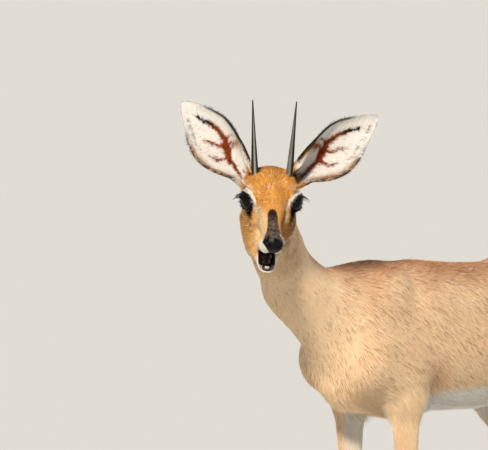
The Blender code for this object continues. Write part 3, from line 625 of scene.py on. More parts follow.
def ear_point(frame, share, turn, lift):
    root, along, facing, outward = frame
    half = at_stations(EAR_OUTER_HALF if turn > 0 else EAR_INNER_HALF, share) - EAR_INSET
    half = max(half, 0.04)
    roll = math.radians(at_stations(EAR_OUTER_ROLL if turn > 0 else EAR_INNER_ROLL, share))
    radius = half / (math.sin(roll) if roll < math.pi / 2 else 1.0)
    angle = roll * turn
    out = (radius + lift) * math.sin(angle)
    front = radius - (radius + lift) * math.cos(angle)
    bend = EAR_BOW * share * (1.0 - share)
    sunk = -EAR_ROOT_DEPTH * max(0.0, 1.0 - share / 0.06)
    return root + along * (share * (EAR_LENGTH - EAR_INSET) + sunk) + outward * out + facing * (front - bend)


def ear_mesh_object(where):
    """A thin leaf rolled into a cup, from a grid given its thickness."""
    frame = EAR_FRAMES[where]
    across, rows = 40, 84
    bm = bmesh.new()
    bmesh.ops.create_grid(bm, x_segments=across, y_segments=rows, size=1.0)
    for vert in bm.verts:
        share = (vert.co.y + 1.0) / 2.0
        vert.co = ear_point(frame, share, vert.co.x, 0.0)
    bmesh.ops.remove_doubles(bm, verts=bm.verts[:], dist=0.004)
    mesh = mesh_of(bm, "ear")
    ear = linked("ear", mesh)
    return with_modifier(ear, "SOLIDIFY", thickness=EAR_SKIN, offset=0.0, use_even_offset=True)


def ear_place(points, where):
    """For points near an ear: share of its length, way across in cm, and how far in front of its root."""
    root, along, facing, outward = EAR_FRAMES[where]
    offset = points - root
    return offset @ along / EAR_LENGTH, offset @ outward, offset @ facing


# The skin, one closed mesh

BODY_VOXEL = 0.42
ROOM_VOXEL = 0.09


def skin_object():
    obj = seeds_object("skin", BODY, BODY_VOXEL)
    settle_object(obj, skin_gap, 2)

    def head_or_leg(points):
        in_face = local(points, "head")
        head = (np.linalg.norm(in_face - (0.5, 0, -1.2), axis=1) < 8.6) & (in_face[:, 0] > -7.0)
        return head | (points[:, 2] < 24.0)

    def face_only(points):
        in_face = local(points, "head")
        return (np.linalg.norm(in_face - (1.6, 0, -1.6), axis=1) < 7.2) & (in_face[:, 0] > -3.0)

    finer_where(obj, head_or_leg)
    settle_object(obj, skin_gap, 2, 0.2)
    finer_where(obj, face_only)
    settle_object(obj, skin_gap, 2, 0.12)
    rooms = seeds_object("rooms", mouth_rooms(), ROOM_VOXEL)
    with_modifier(obj, "BOOLEAN", object=rooms, operation="DIFFERENCE", solver="MANIFOLD")
    bpy.data.objects.remove(rooms)
    settle_object(obj, skin_gap, 2, 0.08)
    for where in EARS:
        ear = ear_mesh_object(where)
        with_modifier(obj, "BOOLEAN", object=ear, operation="UNION", solver="MANIFOLD")
        bpy.data.objects.remove(ear)
    return obj


# Colours as seen, and how they lie over the animal

PALETTE = {
    "fawn": "F5D5AF",
    "rust": "A9683A",
    "pale": "F2D6B0",
    "white": "F1ECE2",
    "orange": "DF9F50",
    "cheek": "DCAA69",
    "cream": "F3D5A4",
    "wedge": "74645C",
    "soot": "2E231D",
    "black": "0B0908",
    "umber": "6E3A1A",
    "glass": "040303",
    "ear_white": "F0ECE6",
    "ear_grey": "8E8880",
    "ear_rust": "8A3A14",
    "ear_tan": "C89A66",
    "ear_back": "8F7052",
    "lining": "1C1110",
    "tooth": "E6C8C0",
}


def linear(code):
    values = [int(code[i : i + 2], 16) / 255 for i in (0, 2, 4)]
    return [v / 12.92 if v <= 0.04045 else ((v + 0.055) / 1.055) ** 2.4 for v in values] + [1.0]


PAINT = {name: np.array(linear(code)[:3]) for name, code in PALETTE.items()}
# In the head's frame: the way from the face to the photo's viewer, and a ball that holds the head
FACE_AHEAD = np.array((0.896, -0.058, 0.447))
HEAD_MIDDLE = (0, 0, -2)
HEAD_REACH = 10.5


def painted(colours, paint, share):
    return colours + (PAINT[paint] - colours) * np.clip(share, 0.0, 1.0)[:, None]


def mottle(points, size, seed):
    """Smooth random values from 0 to 1 over space, with patches of about the given size."""
    cells = points / size + seed * 17.3
    base = np.floor(cells)
    part = cells - base
    part = part * part * (3.0 - 2.0 * part)
    total = np.zeros(len(points))
    for corner in range(8):
        bit = np.array((corner & 1, corner >> 1 & 1, corner >> 2 & 1), float)
        place = base + bit
        noise = np.sin(place @ np.array((127.1, 311.7, 74.7)) + seed) * 43758.5453
        weight = np.prod(np.where(bit > 0, part, 1.0 - part), axis=1)
        total += weight * (noise - np.floor(noise))
    return total


def along_line(points, corners):
    """Distance to a bent line, and how far along it from 0 to 1."""
    corners = np.array(corners, float)
    best = np.full(len(points), FAR)
    share = np.zeros(len(points))
    legs = len(corners) - 1
    for index in range(legs):
        start, way = corners[index], corners[index + 1] - corners[index]
        part = np.clip((points - start) @ way / max(way @ way, 1e-9), 0.0, 1.0)
        gap = np.linalg.norm(points - start - part[:, None] * way, axis=1)
        closer = gap < best
        best = np.where(closer, gap, best)
        share = np.where(closer, (index + part) / legs, share)
    return best, share


def stroke(points, corners, widths, soft=0.12):
    """How much a brush line of the given half widths, root to tip, covers each place."""
    gap, share = along_line(points, corners)
    half = np.interp(share, np.linspace(0.0, 1.0, len(widths)), widths)
    return smooth_step(soft, -soft, gap - half)


def body_marks(points, normals):
    x, y, z = points.T
    side = np.sign(y)
    colours = np.tile(PAINT["fawn"], (len(points), 1))
    neck = smooth_step(17.0, 24.0, x)
    up = normals @ np.array((0.0, 0.0, 1.0)) * (1 - neck) + normals @ np.array((-0.62, 0.0, 0.78)) * neck
    wave = mottle(points, 2.2, 3) - 0.5
    saddle = smooth_step(0.3, 1.0, up + 0.3 * wave)
    colours = painted(colours, "rust", 0.72 * saddle * smooth_step(30, 40, z))
    in_trunk = smooth_step(20.0, 14.0, x)
    low_flank = smooth_step(39.5, 34.0, z + wave)
    colours = painted(colours, "pale", 0.8 * low_flank * smooth_step(26.0, 31.0, z) * in_trunk)
    thigh_out = smooth_step(-0.1, 0.4, normals[:, 1] * side) * smooth_step(-5.0, -7.5, x)
    belly = smooth_step(34.2, 33.2, z + 1.2 * wave) * smooth_step(11.5, 8.5, x) * smooth_step(28.0, 30.5, z)
    belly = belly * (1.0 - thigh_out)
    colours = painted(colours, "white", belly * smooth_step(0.35, -0.1, normals[:, 2]))
    # Painted shade: reddish darkening in the crease behind the elbow and in the flank fold before the thigh
    elbow = np.linalg.norm((points - (6.6, 0, 35.2)) * (1.0, 0.0, 1.1), axis=1)
    flank_fold_shade = np.linalg.norm((points - (-6.2, 0, 37.0)) * (1.6, 0.0, 0.6), axis=1)
    colours = painted(colours, "rust", 0.4 * smooth_step(3.4, 0.0, np.minimum(elbow, flank_fold_shade + 0.6) + wave))
    leg = smooth_step(33.0, 27.0, z)
    inside = smooth_step(0.1, -0.6, normals[:, 1] * side) * smooth_step(8.0, 22.0, z)
    below_elbow = smooth_step(38.0, 34.0, z)
    colours = painted(colours, "white", 0.85 * inside * below_elbow * smooth_step(16.5, 14.5, x))
    colours = painted(colours, "rust", 0.22 * leg * smooth_step(0.0, 0.8, normals[:, 0]))
    colours = painted(colours, "soot", 0.45 * smooth_step(3.3, 2.2, z))
    rear = smooth_step(-21.6, -23.2, x) * smooth_step(2.6, 1.6, np.abs(y)) * smooth_step(33.0, 35.0, z)
    tail = smooth_step(-23.2, -24.0, x) * smooth_step(2.2, 1.8, np.abs(y)) * (z > 37.0) * (z < 47.0)
    colours = painted(colours, "white", 0.9 * rear * (1 - tail))
    colours = painted(colours, "rust", 0.8 * tail * smooth_step(0.2, -0.5, normals[:, 0]))
    return painted(colours, "white", tail * smooth_step(-0.1, 0.5, normals[:, 0]))


# Marks on the face, as it is seen from straight before it: centimetres to its left and up.

NOSE_PAD = (
    (-1.06, -4.62), (-0.87, -4.26), (-0.42, -4.10), (0.13, -4.06), (0.66, -4.11), (1.15, -4.27),
    (1.48, -4.62), (1.40, -5.04), (1.17, -5.44), (0.86, -5.69), (0.30, -5.91), (-0.23, -5.84),
    (-0.52, -5.43), (-0.80, -4.99),
)
BRIDGE_WEDGE = (
    (0.08, -0.77), (-0.24, -0.88), (-0.43, -1.22), (-0.45, -1.63), (-0.45, -2.21), (-0.48, -2.90),
    (-0.59, -3.48), (-0.87, -4.20), (-0.83, -4.64), (1.38, -4.64), (1.27, -4.18), (1.01, -3.59),
    (0.85, -2.96), (0.76, -2.21), (0.71, -1.63), (0.62, -1.11), (0.38, -0.81),
)
RIGHT_RIM = (
    (-4.01, 0.97), (-3.67, 1.27), (-3.27, 1.40), (-2.86, 1.30), (-2.38, 0.93), (-2.01, 0.29),
    (-1.80, -0.41), (-1.69, -1.16),
)
LEFT_RIM = (
    (3.71, 1.32), (3.31, 1.21), (2.90, 0.97), (2.48, 0.63), (2.10, 0.16), (1.87, -0.35), (1.73, -0.87),
)
RIGHT_TEAR = (
    (-2.73, -0.58), (-2.48, -1.22), (-2.24, -2.03),
)
LEFT_TEAR = (
    (2.50, -0.70), (2.29, -1.39), (2.13, -2.44),
)
RIGHT_CREAM = (
    (-1.35, -0.81), (-1.00, -1.97), (-1.06, -3.13), (-1.31, -4.18), (-1.35, -5.11),
)
LEFT_CREAM = (
    (1.78, -0.70), (1.76, -1.39), (1.64, -2.21),
)
# Beside the bridge on the face's left: real dark specks, and a rust band that is partly painted shade
LEFT_SPECKS_AND_SHADE = (
    (1.50, -1.05), (1.34, -1.86), (1.17, -2.79), (1.22, -3.60),
)
LEFT_TEMPLE = (
    (2.08, 3.07), (2.72, 3.36), (3.48, 3.13), (4.00, 2.44), (4.00, 1.68),
)
RIGHT_TEMPLE = (
    (-4.49, 2.67), (-4.08, 2.03), (-3.79, 1.51),
)
RIGHT_HORN_PATCH = (
    (-2.16, 3.89), (-1.35, 4.00),
)
PAD_EDGE = (
    (0.99, -3.67), (1.27, -4.08), (1.55, -4.64), (1.50, -5.11),
)


def before_face(face):
    hx, hy, hz = face.T
    return np.stack((hy + 0.04 * hx + 0.05 * hz, 0.896 * hz - 0.447 * hx), axis=1)


def inside_outline(flat, outline):
    """Signed distance to a closed outline in a plane: below zero inside."""
    corners = np.array(outline, float)
    ahead = np.roll(corners, -1, axis=0)
    gap = along_line(flat, np.vstack((corners, corners[:1])))[0]
    inside = np.zeros(len(flat), bool)
    for start, end in zip(corners, ahead):
        crosses = (start[1] > flat[:, 1]) != (end[1] > flat[:, 1])
        rise = end[1] - start[1] or 1e-9
        at = start[0] + (flat[:, 1] - start[1]) * (end[0] - start[0]) / rise
        inside ^= crosses & (flat[:, 0] < at)
    return np.where(inside, -gap, gap)


def head_marks(points, normals):
    """Marks in the head's frame, which has +X to the nose."""
    face = local(points, "head")
    ways = local_ways(normals, "head")
    hx, hy, hz = face.T
    flat = before_face(face)
    wave = mottle(face, 0.9, 5) - 0.5
    fine = mottle(face, 0.22, 6) - 0.5
    ahead = smooth_step(-0.15, 0.1, ways @ FACE_AHEAD)
    front = ahead * smooth_step(-2.6, -1.8, hx)
    eye_at = eye_in_head(LEFT)[0][0]
    before_eye = front * smooth_step(eye_at - 0.5, eye_at + 0.1, hx)
    around_eye = front * smooth_step(eye_at - 1.4, eye_at - 0.9, hx)
    crown = smooth_step(-0.5, -0.2, ways @ FACE_AHEAD) * smooth_step(-5.6, -4.8, hx)

    def drawn(colours, paint, amount, corners, widths, soft=0.12, reach=front):
        ragged = flat + 0.10 * fine[:, None]
        return painted(colours, paint, amount * reach * stroke(ragged, corners, widths, soft))

    colours = np.tile(PAINT["orange"], (len(points), 1))
    colours = painted(colours, "cheek", smooth_step(0.2, -1.8, hz + wave))
    # Painted shade: the face's left side below the eye is darkened with umber, where shade falls on it
    painted_cheek_shade = smooth_step(0.9, 2.0, hy) * smooth_step(0.4, -0.8, hz + 0.4 * wave)
    colours = painted(colours, "umber", 0.62 * painted_cheek_shade)
    colours = painted(colours, "pale", 0.8 * smooth_step(-3.6, -5.2, hz + 0.3 * hx + wave))
    colours = painted(colours, "rust", 0.5 * smooth_step(-2.6, -4.6, hx) * smooth_step(0.0, 1.0, hz))
    flame = smooth_step(0.2, 0.5, mottle(face * (0.6, 1.0, 1.0), 0.55, 12) - 0.35)
    cheeks = smooth_step(-0.6, -1.6, hz) * smooth_step(1.0, 1.5, np.abs(hy)) * smooth_step(5.0, 3.8, hx)
    colours = painted(colours, "rust", 0.45 * flame * cheeks)
    jaw = local(points, "jaw")
    under = smooth_step(-3.6, -4.3, jaw[:, 2]) * smooth_step(-3.5, 0.0, jaw[:, 0])
    middle = smooth_step(1.3, 0.8, np.abs(hy))
    colours = painted(colours, "white", 0.8 * under * (hz < -2.6) * middle * (hx > 1.0))
    colours = drawn(colours, "cream", 0.9, RIGHT_CREAM, (0.35, 0.6, 0.62, 0.5, 0.5), 0.4)
    # Painted shade with real specks: a rust band beside the bridge on the face's left, darkened where shade
    # falls
    colours = drawn(colours, "rust", 0.55, LEFT_SPECKS_AND_SHADE, (0.15, 0.3, 0.4, 0.3), 0.3)
    colours = drawn(colours, "cream", 0.85, LEFT_CREAM, (0.16, 0.2, 0.1), 0.15)
    lip = smooth_step(5.0, 5.8, hx) * smooth_step(-1.5, -2.1, hz + wave * 0.3)
    colours = painted(colours, "white", 0.9 * lip)
    chin = smooth_step(3.6, 4.4, jaw[:, 0]) * (hz < -3.4)
    colours = painted(colours, "white", 0.9 * chin)
    for side in (LEFT, RIGHT):
        eye, look = eye_in_head(side)
        offset = face - np.array(eye)
        out = offset @ np.array(look)
        rim = np.linalg.norm(offset - out[:, None] * np.array(look), axis=1)
        near = (out > -0.9) & (rim < 3.0)
        upper = smooth_step(-1.1, 0.5, offset[:, 2] + 0.9 * offset[:, 0])
        behind = smooth_step(0.3, -0.5, offset[:, 0])
        ring_white = smooth_step(1.75, 1.45, rim + 0.25 * wave) * near * (0.25 + 0.75 * upper) * behind
        colours = painted(colours, "white", 0.8 * ring_white)
        colours = painted(colours, "black", smooth_step(1.3, 1.16, rim) * near)
    right_widths = (0.1, 0.2, 0.24, 0.25, 0.23, 0.19, 0.16, 0.06)
    left_widths = (0.12, 0.17, 0.19, 0.19, 0.18, 0.15, 0.05)
    colours = drawn(colours, "white", 1.0, RIGHT_RIM, right_widths, 0.08, around_eye)
    colours = drawn(colours, "white", 0.95, LEFT_RIM, left_widths, 0.07, around_eye)
    colours = drawn(colours, "black", 1.0, RIGHT_TEAR, (0.46, 0.36, 0.08), 0.1, before_eye)
    colours = drawn(colours, "black", 1.0, LEFT_TEAR, (0.36, 0.24, 0.06), 0.1, before_eye)
    colours = drawn(colours, "soot", 0.8 * (fine > -0.12), LEFT_SPECKS_AND_SHADE, (0.05, 0.13, 0.16, 0.1), 0.1)
    wedge = smooth_step(0.05, -0.07, inside_outline(flat + 0.06 * fine[:, None], BRIDGE_WEDGE))
    high = smooth_step(-2.6, -1.2, flat[:, 1])
    colours = painted(colours, "soot", front * wedge)
    flecked = smooth_step(-0.2, 0.2, fine + 0.1)
    colours = painted(colours, "wedge", 0.75 * front * wedge * (1 - high) * flecked)
    colours = drawn(colours, "white", 0.9, PAD_EDGE, (0.02, 0.08, 0.1, 0.06), 0.05)
    temple_widths = (0.2, 0.4, 0.45, 0.35, 0.2)
    colours = drawn(colours, "soot", 0.95 * (fine > -0.3), LEFT_TEMPLE, temple_widths, 0.15, crown)
    colours = drawn(colours, "black", 0.9, RIGHT_HORN_PATCH, (0.32, 0.32), 0.15, crown)
    colours = drawn(colours, "white", 0.9, RIGHT_TEMPLE, (0.55, 0.6, 0.5), 0.25, crown)
    beside = ((-2.1, 2.75, 2.1), (-2.7, 3.0, 1.4), (-3.0, 3.5, 0.6), (-2.6, 3.7, -0.1))
    colours = painted(colours, "black", 0.8 * (1 - front) * stroke(face, beside, (0.4, 0.5, 0.4, 0.2), 0.2))
    for side in (LEFT, RIGHT):
        ear_root = ((-3.2, 3.4 * side, 0.4), (-3.9, 4.2 * side, 0.5))
        strength = 0.85 * stroke(face, ear_root, (0.7, 0.8), 0.3)
        colours = painted(colours, "white", strength * (side < 0 or 0.6))
    return colours


def nose_share(points):
    """One on the bare nose pad."""
    face = local(points, "head")
    return smooth_step(0.04, -0.05, inside_outline(before_face(face), NOSE_PAD)) * (face[:, 0] > 5.4)


def lining_share(points):
    """One inside the mouth."""
    gap = np.full(len(points), FAR)
    in_frame = {"head": local(points, "head"), "jaw": local(points, "jaw")}
    for shape in HOLLOWS[:4]:
        gap = np.minimum(gap, nearby_gap(shape, in_frame[shape["frame"]]))
    return smooth_step(0.22, 0.14, gap)


# The ears' inner pattern. Places are the share of the ear's length and centimetres to its inner edge.

EAR_STEM = (
    (0.0, -0.45), (0.09, -0.25), (0.175, -0.15), (0.255, -0.1), (0.30, 0.25), (0.36, 0.5), (0.42, 1.0),
    (0.495, 1.1), (0.57, 1.08), (0.645, 0.87), (0.725, 0.5), (0.79, 0.15),
)
EAR_STEM_HALF = (0.14, 0.17, 0.23, 0.34, 0.4, 0.38, 0.32, 0.28, 0.25, 0.23, 0.2, 0.1)
EAR_BRANCHES = (
    (((0.39, 0.2), (0.45, -0.15), (0.515, -0.48), (0.56, -0.8)), (0.26, 0.19, 0.15, 0.07)),
    (((0.27, -0.35), (0.315, -1.15), (0.365, -1.35), (0.40, -1.5)), (0.2, 0.17, 0.16, 0.08)),
    (((0.36, 0.6), (0.355, 1.25), (0.30, 1.95)), (0.24, 0.17, 0.08)),
    (((0.33, 0.4), (0.32, 0.85), (0.285, 1.8)), (0.24, 0.17, 0.08)),
    (((0.42, 1.0), (0.41, 1.55), (0.39, 2.05)), (0.2, 0.14, 0.07)),
)
EAR_FLECKS = (
    (0.9, 0.0), (0.84, -0.6), (0.75, -0.95), (0.70, -1.15), (0.64, -1.5), (0.57, -1.85), (0.50, -1.8),
)
EAR_FLECKS_HALF = (0.08, 0.12, 0.05, 0.1, 0.12, 0.05, 0.06)
EAR_LOW_FLECKS = ((0.30, -2.2), (0.23, -1.9), (0.14, -1.5))


def ear_marks(points, normals, where):
    frame = EAR_FRAMES[where]
    share, outward, _ = ear_place(points, where)
    inner = -outward
    flat = np.stack((share * EAR_LENGTH, inner), axis=1)
    grain = mottle(points, 0.16, 7)
    wave = mottle(points, 0.5, 8) - 0.5

    def drawn(corners, widths, soft=0.07):
        corners = [(s * EAR_LENGTH, c) for s, c in corners]
        ragged = flat + 0.42 * (grain - 0.5)[:, None]
        return stroke(ragged, corners, widths, soft)

    colours = np.tile(PAINT["ear_white"], (len(points), 1))
    colours = painted(colours, "ear_grey", 0.5 * smooth_step(0.6, 0.95, grain))
    tan = smooth_step(1.0, 1.7, inner + 0.5 * wave) * smooth_step(0.42, 0.3, share)
    colours = painted(colours, "ear_tan", 0.85 * tan * (0.55 if where == "right" else 1.0))
    colours = painted(colours, "soot", 0.75 * drawn(EAR_FLECKS, EAR_FLECKS_HALF) * (grain > 0.42))
    colours = painted(colours, "soot", 0.7 * drawn(EAR_LOW_FLECKS, (0.05, 0.12, 0.06)) * (grain > 0.45))
    for corners, widths in EAR_BRANCHES:
        colours = painted(colours, "ear_rust", drawn(corners, widths))
    stem = drawn(EAR_STEM, EAR_STEM_HALF)
    colours = painted(colours, "ear_rust", stem)
    blacker = np.maximum(smooth_step(0.55, 0.68, share), smooth_step(0.6, 0.75, grain) * 0.8)
    colours = painted(colours, "black", stem * blacker)
    outer_edge = at_stations(EAR_OUTER_HALF, share) + inner
    inner_edge = at_stations(EAR_INNER_HALF, share) - inner
    speckle = smooth_step(0.95, 0.25, outer_edge + 0.4 * wave)
    speckle = speckle * smooth_step(0.66, 0.5, share) * smooth_step(0.0, 0.1, share)
    colours = painted(colours, "ear_tan", 0.8 * speckle)
    rim = smooth_step(0.75, 0.1, outer_edge) * smooth_step(0.8, 0.6, share)
    colours = painted(colours, "soot", rim * (grain > 0.36))
    dark = smooth_step(0.42, 0.24, inner_edge + 0.1 * wave)
    dark = dark * smooth_step(0.02, 0.08, share) * smooth_step(0.86, 0.74, share)
    colours = painted(colours, "black", 0.95 * dark)
    back = np.tile(PAINT["ear_back"], (len(points), 1))
    back = painted(back, "soot", 0.55 * smooth_step(0.45, 0.05, share) * smooth_step(0.2, 1.2, inner))
    back = painted(back, "black", 0.9 * smooth_step(0.45, 0.2, inner_edge) * smooth_step(0.2, 0.3, share))
    hollow = smooth_step(-0.12, 0.12, normals @ frame[2])[:, None]
    return back * (1.0 - hollow) + colours * hollow


def parts_of(points, gap):
    """Which part each place belongs to: its name as an index in PARTS."""
    part = np.zeros(len(points), int)
    face = local(points, "head")
    neck = (points - np.array(NECK_BASE[0])) @ np.array(NECK_BASE[1]) > 0
    part[neck] = PARTS.index("neck")
    head = (face - np.array((-5.2, 0, -2.0))) @ np.array((0.95, 0, 0.31)) > 0
    part[neck & head] = PARTS.index("head")
    tail = (points[:, 0] < -23.6) & (points[:, 2] > 37.0) & (np.abs(points[:, 1]) < 2.2)
    part[tail] = PARTS.index("tail")
    for name in LEG_SHAPES:
        fore, left = name.startswith("fore"), name.endswith("left")
        low = points[:, 2] < 30.0
        part[low & ((points[:, 0] > 0) == fore) & ((points[:, 1] > 0) == left)] = PARTS.index(name)
    for where in EARS:
        share, outward, front = ear_place(points, where)
        on = (gap > 0.06) & (share > 0.0) & (share < 1.1) & (np.abs(outward) < 3.4) & (np.abs(front) < 4.0)
        part[on] = PARTS.index("ear_" + where)
    return part


PARTS = (
    "trunk", "neck", "head", "tail", "foreleg_left", "foreleg_right", "hindleg_left", "hindleg_right",
    "ear_left", "ear_right",
)
NECK_BASE = (Vector((21.6, 0.0, 46.2)), Vector((0.80, 0.0, 0.60)))


def marks(points, normals, part):
    colours = body_marks(points, normals)
    face = local(points, "head")
    to_middle = np.linalg.norm(face - HEAD_MIDDLE, axis=1)
    on_head = smooth_step(-6.2, -4.2, face[:, 0]) * smooth_step(HEAD_REACH, 9.0, to_middle)
    near = on_head > 0
    if near.any():
        head = head_marks(points[near], normals[near])
        colours[near] += (head - colours[near]) * on_head[near][:, None]
    for where in EARS:
        on = part == PARTS.index("ear_" + where)
        if on.any():
            ear = ear_marks(points[on], normals[on], where)
            root = smooth_step(-0.03, 0.03, ear_place(points[on], where)[0])[:, None]
            colours[on] += (ear - colours[on]) * root
    return colours


# The lie of the coat

NECK_WAY = np.array((-0.70, -0.05, -0.72))


def coat_ways(points, normals, part):
    """The way the hair lies, before it is laid along the skin."""
    x, _, z = points.T
    flank = smooth_step(0.9, 0.3, normals[:, 2])[:, None]
    ways = np.array((-1.0, 0.0, -0.12)) * (1 - flank) + np.array((-0.78, 0.0, -0.66)) * flank
    under = smooth_step(-0.3, -0.8, normals[:, 2])[:, None]
    ways = ways * (1 - under) + np.array((-1.0, 0.0, 0.0)) * under
    neck = smooth_step(15.0, 21.0, x)[:, None]
    ways = ways * (1 - neck) + NECK_WAY * neck
    leg = smooth_step(36.0, 29.0, z)[:, None] * (1 - under)
    ways = ways * (1 - leg) + np.array((-0.16, 0.0, -1.0)) * leg
    tail = part == PARTS.index("tail")
    ways[tail] = np.array((-0.25, 0.0, -1.0))
    face = local(points, "head")
    on_head = smooth_step(-6.2, -4.0, face[:, 0]) * (np.linalg.norm(face - HEAD_MIDDLE, axis=1) < HEAD_REACH)
    hx, hy, hz = face.T
    crown = smooth_step(1.6, 0.2, hx) * smooth_step(-0.2, 0.8, hz)
    cheek = np.stack((-0.75 + 0 * hx, 0.25 * np.sign(hy), -0.6 - 0 * hx), axis=1)
    top = np.stack((-1.0 + 0 * hx, 0.55 * np.clip(hy, -1.5, 1.5), 0.4 + 0 * hx), axis=1)
    bridge = np.stack((1.0 + 0 * hx, 0.35 * np.clip(hy, -1, 1), -0.5 + 0 * hx), axis=1)
    on_bridge = smooth_step(1.4, 2.6, hx) * smooth_step(1.5, 0.9, np.abs(hy))
    on_bridge = on_bridge * smooth_step(-1.2, -0.4, hz + 0.25 * hx)
    way_head = cheek * (1 - crown)[:, None] + top * crown[:, None]
    way_head = way_head * (1 - on_bridge)[:, None] + bridge * on_bridge[:, None]
    way_head = way_head @ np.array(FRAMES["head"])[:3, :3].T
    ways = ways * (1 - on_head)[:, None] + way_head * on_head[:, None]
    for where in EARS:
        on = part == PARTS.index("ear_" + where)
        _, along, facing, outward = EAR_FRAMES[where]
        share, out, _ = ear_place(points[on], where)
        inside = (normals[on] @ facing > 0)[:, None]
        to_stem = np.clip(-out - np.interp(share, [s for s, _ in EAR_STEM], [c for _, c in EAR_STEM]), -1, 1)
        comb = along * 0.62 - outward * (0.95 * to_stem)[:, None]
        ways[on] = np.where(inside, comb, along + outward * (0.25 * out / 2.0)[:, None])
    return ways


def laid(ways, normals, lift):
    """Lays the ways along the skin and lifts them by an angle."""
    flat = ways - normals * (ways * normals).sum(axis=1)[:, None]
    flat /= np.maximum(np.linalg.norm(flat, axis=1), 1e-6)[:, None]
    return flat * np.cos(lift)[:, None] + normals * np.sin(lift)[:, None]


# Materials


def add_node(tree, kind, links=(), **inputs):
    """A node with its inputs set by name, and links given as (input, node, output)."""
    node = tree.nodes.new(kind)
    for key, value in inputs.items():
        node.inputs[key.replace("_", " ")].default_value = value
    for socket, source, output in links:
        tree.links.new(source.outputs[output], node.inputs[socket])
    return node


def finish(name, roughness, colour="808080", **settings):
    """A material and its shader node."""
    made = bpy.data.materials.new(name)
    made.use_nodes = True
    shader = made.node_tree.nodes["Principled BSDF"]
    shader.inputs["Base Color"].default_value = linear(colour)
    shader.inputs["Roughness"].default_value = roughness
    for key, value in settings.items():
        shader.inputs[key.replace("_", " ")].default_value = value
    return made, made.node_tree, shader


COLOUR_LAYER = "coat_colour"


def painted_finish(name, roughness, grain, bump, **settings):
    """A finish whose colour comes from the piece's own marks, with a fine bump."""
    made, tree, shader = finish(name, roughness, **settings)
    marks_node = tree.nodes.new("ShaderNodeAttribute")
    marks_node.attribute_name = COLOUR_LAYER
    tree.links.new(marks_node.outputs["Color"], shader.inputs["Base Color"])
    if bump:
        place = tree.nodes.new("ShaderNodeTexCoord")
        noise = add_node(tree, "ShaderNodeTexNoise", [("Vector", place, "Object")], Scale=grain, Detail=3.0)
        raised = add_node(tree, "ShaderNodeBump", [("Height", noise, "Fac")], Strength=bump, Distance=0.0006)
        tree.links.new(raised.outputs["Normal"], shader.inputs["Normal"])
    return made


def colour_in(mesh, colours):
    layer = mesh.attributes.get(COLOUR_LAYER) or mesh.attributes.new(COLOUR_LAYER, "FLOAT_COLOR", "POINT")
    full = np.ones((len(colours), 4), np.float32)
    full[:, :3] = np.clip(colours, 0.0, 1.0)
    layer.data.foreach_set("color", full.ravel())


def normals_of(mesh):
    flat = np.empty(len(mesh.vertices) * 3, np.float32)
    mesh.vertex_normals.foreach_get("vector", flat)
    return flat.reshape(-1, 3).astype(float)


def smooth_faces(mesh):
    mesh.polygons.foreach_set("use_smooth", np.ones(len(mesh.polygons), bool))


def settled_in_place(obj):
    """Moves a mesh from centimetres in the animal's measure to the model's place."""
    points = placed(vertices_of(obj.data))
    obj.data.vertices.foreach_set("co", points.astype(np.float32).ravel())
    obj.data.update()


# Hair


def scatter(skin_points, skin_normals, triangles, density, rng):
    """Places spread over the triangles by density, with the skin's normal at each."""
    a, b, c = (skin_points[triangles[:, k]] for k in range(3))
    area = 0.5 * np.linalg.norm(np.cross(b - a, c - a), axis=1)
    wanted = np.cumsum(area * density)
    count = int(wanted[-1])
    picks = np.searchsorted(wanted, (np.arange(count) + rng.random(count)) * wanted[-1] / count)
    picks = np.minimum(picks, len(triangles) - 1)
    u, v = rng.random(count), rng.random(count)
    over = u + v > 1.0
    u[over], v[over] = 1.0 - u[over], 1.0 - v[over]
    weights = np.stack((1.0 - u - v, u, v), axis=1)
    corners = triangles[picks]
    roots = np.einsum("ij,ijk->ik", weights, skin_points[corners])
    normals = np.einsum("ij,ijk->ik", weights, skin_normals[corners])
    normals /= np.maximum(np.linalg.norm(normals, axis=1), 1e-6)[:, None]
    return roots, normals, picks


def bake_places(roots, normals):
    """Each root's place on the skin, spread out by the side it faces: three views across, two down."""
    low, size = roots.min(axis=0), np.maximum(np.ptp(roots, axis=0), 1e-6)
    share = (roots - low) / size
    axis = np.abs(normals).argmax(axis=1)
    ahead = normals[np.arange(len(roots)), axis] > 0
    first = np.where(axis == 0, share[:, 1], share[:, 0])
    second = np.where(axis == 2, share[:, 1], share[:, 2])
    return np.stack(((axis + 0.02 + 0.96 * first) / 3.0, (ahead + 0.02 + 0.96 * second) / 2.0), axis=1)


# Half the width of a tuft's patch on the OFBake map
TUFT_PATCH = 0.0015
SPIKE_FACES = np.array(((0, 1, 3), (1, 2, 3), (2, 0, 3), (0, 2, 1)))
LOCK_FACES = np.array(
    (
        (0, 1, 4), (0, 4, 3), (1, 2, 5), (1, 5, 4), (2, 0, 3), (2, 3, 5),
        (3, 4, 6), (4, 5, 6), (5, 3, 6), (0, 2, 1),
    )
)


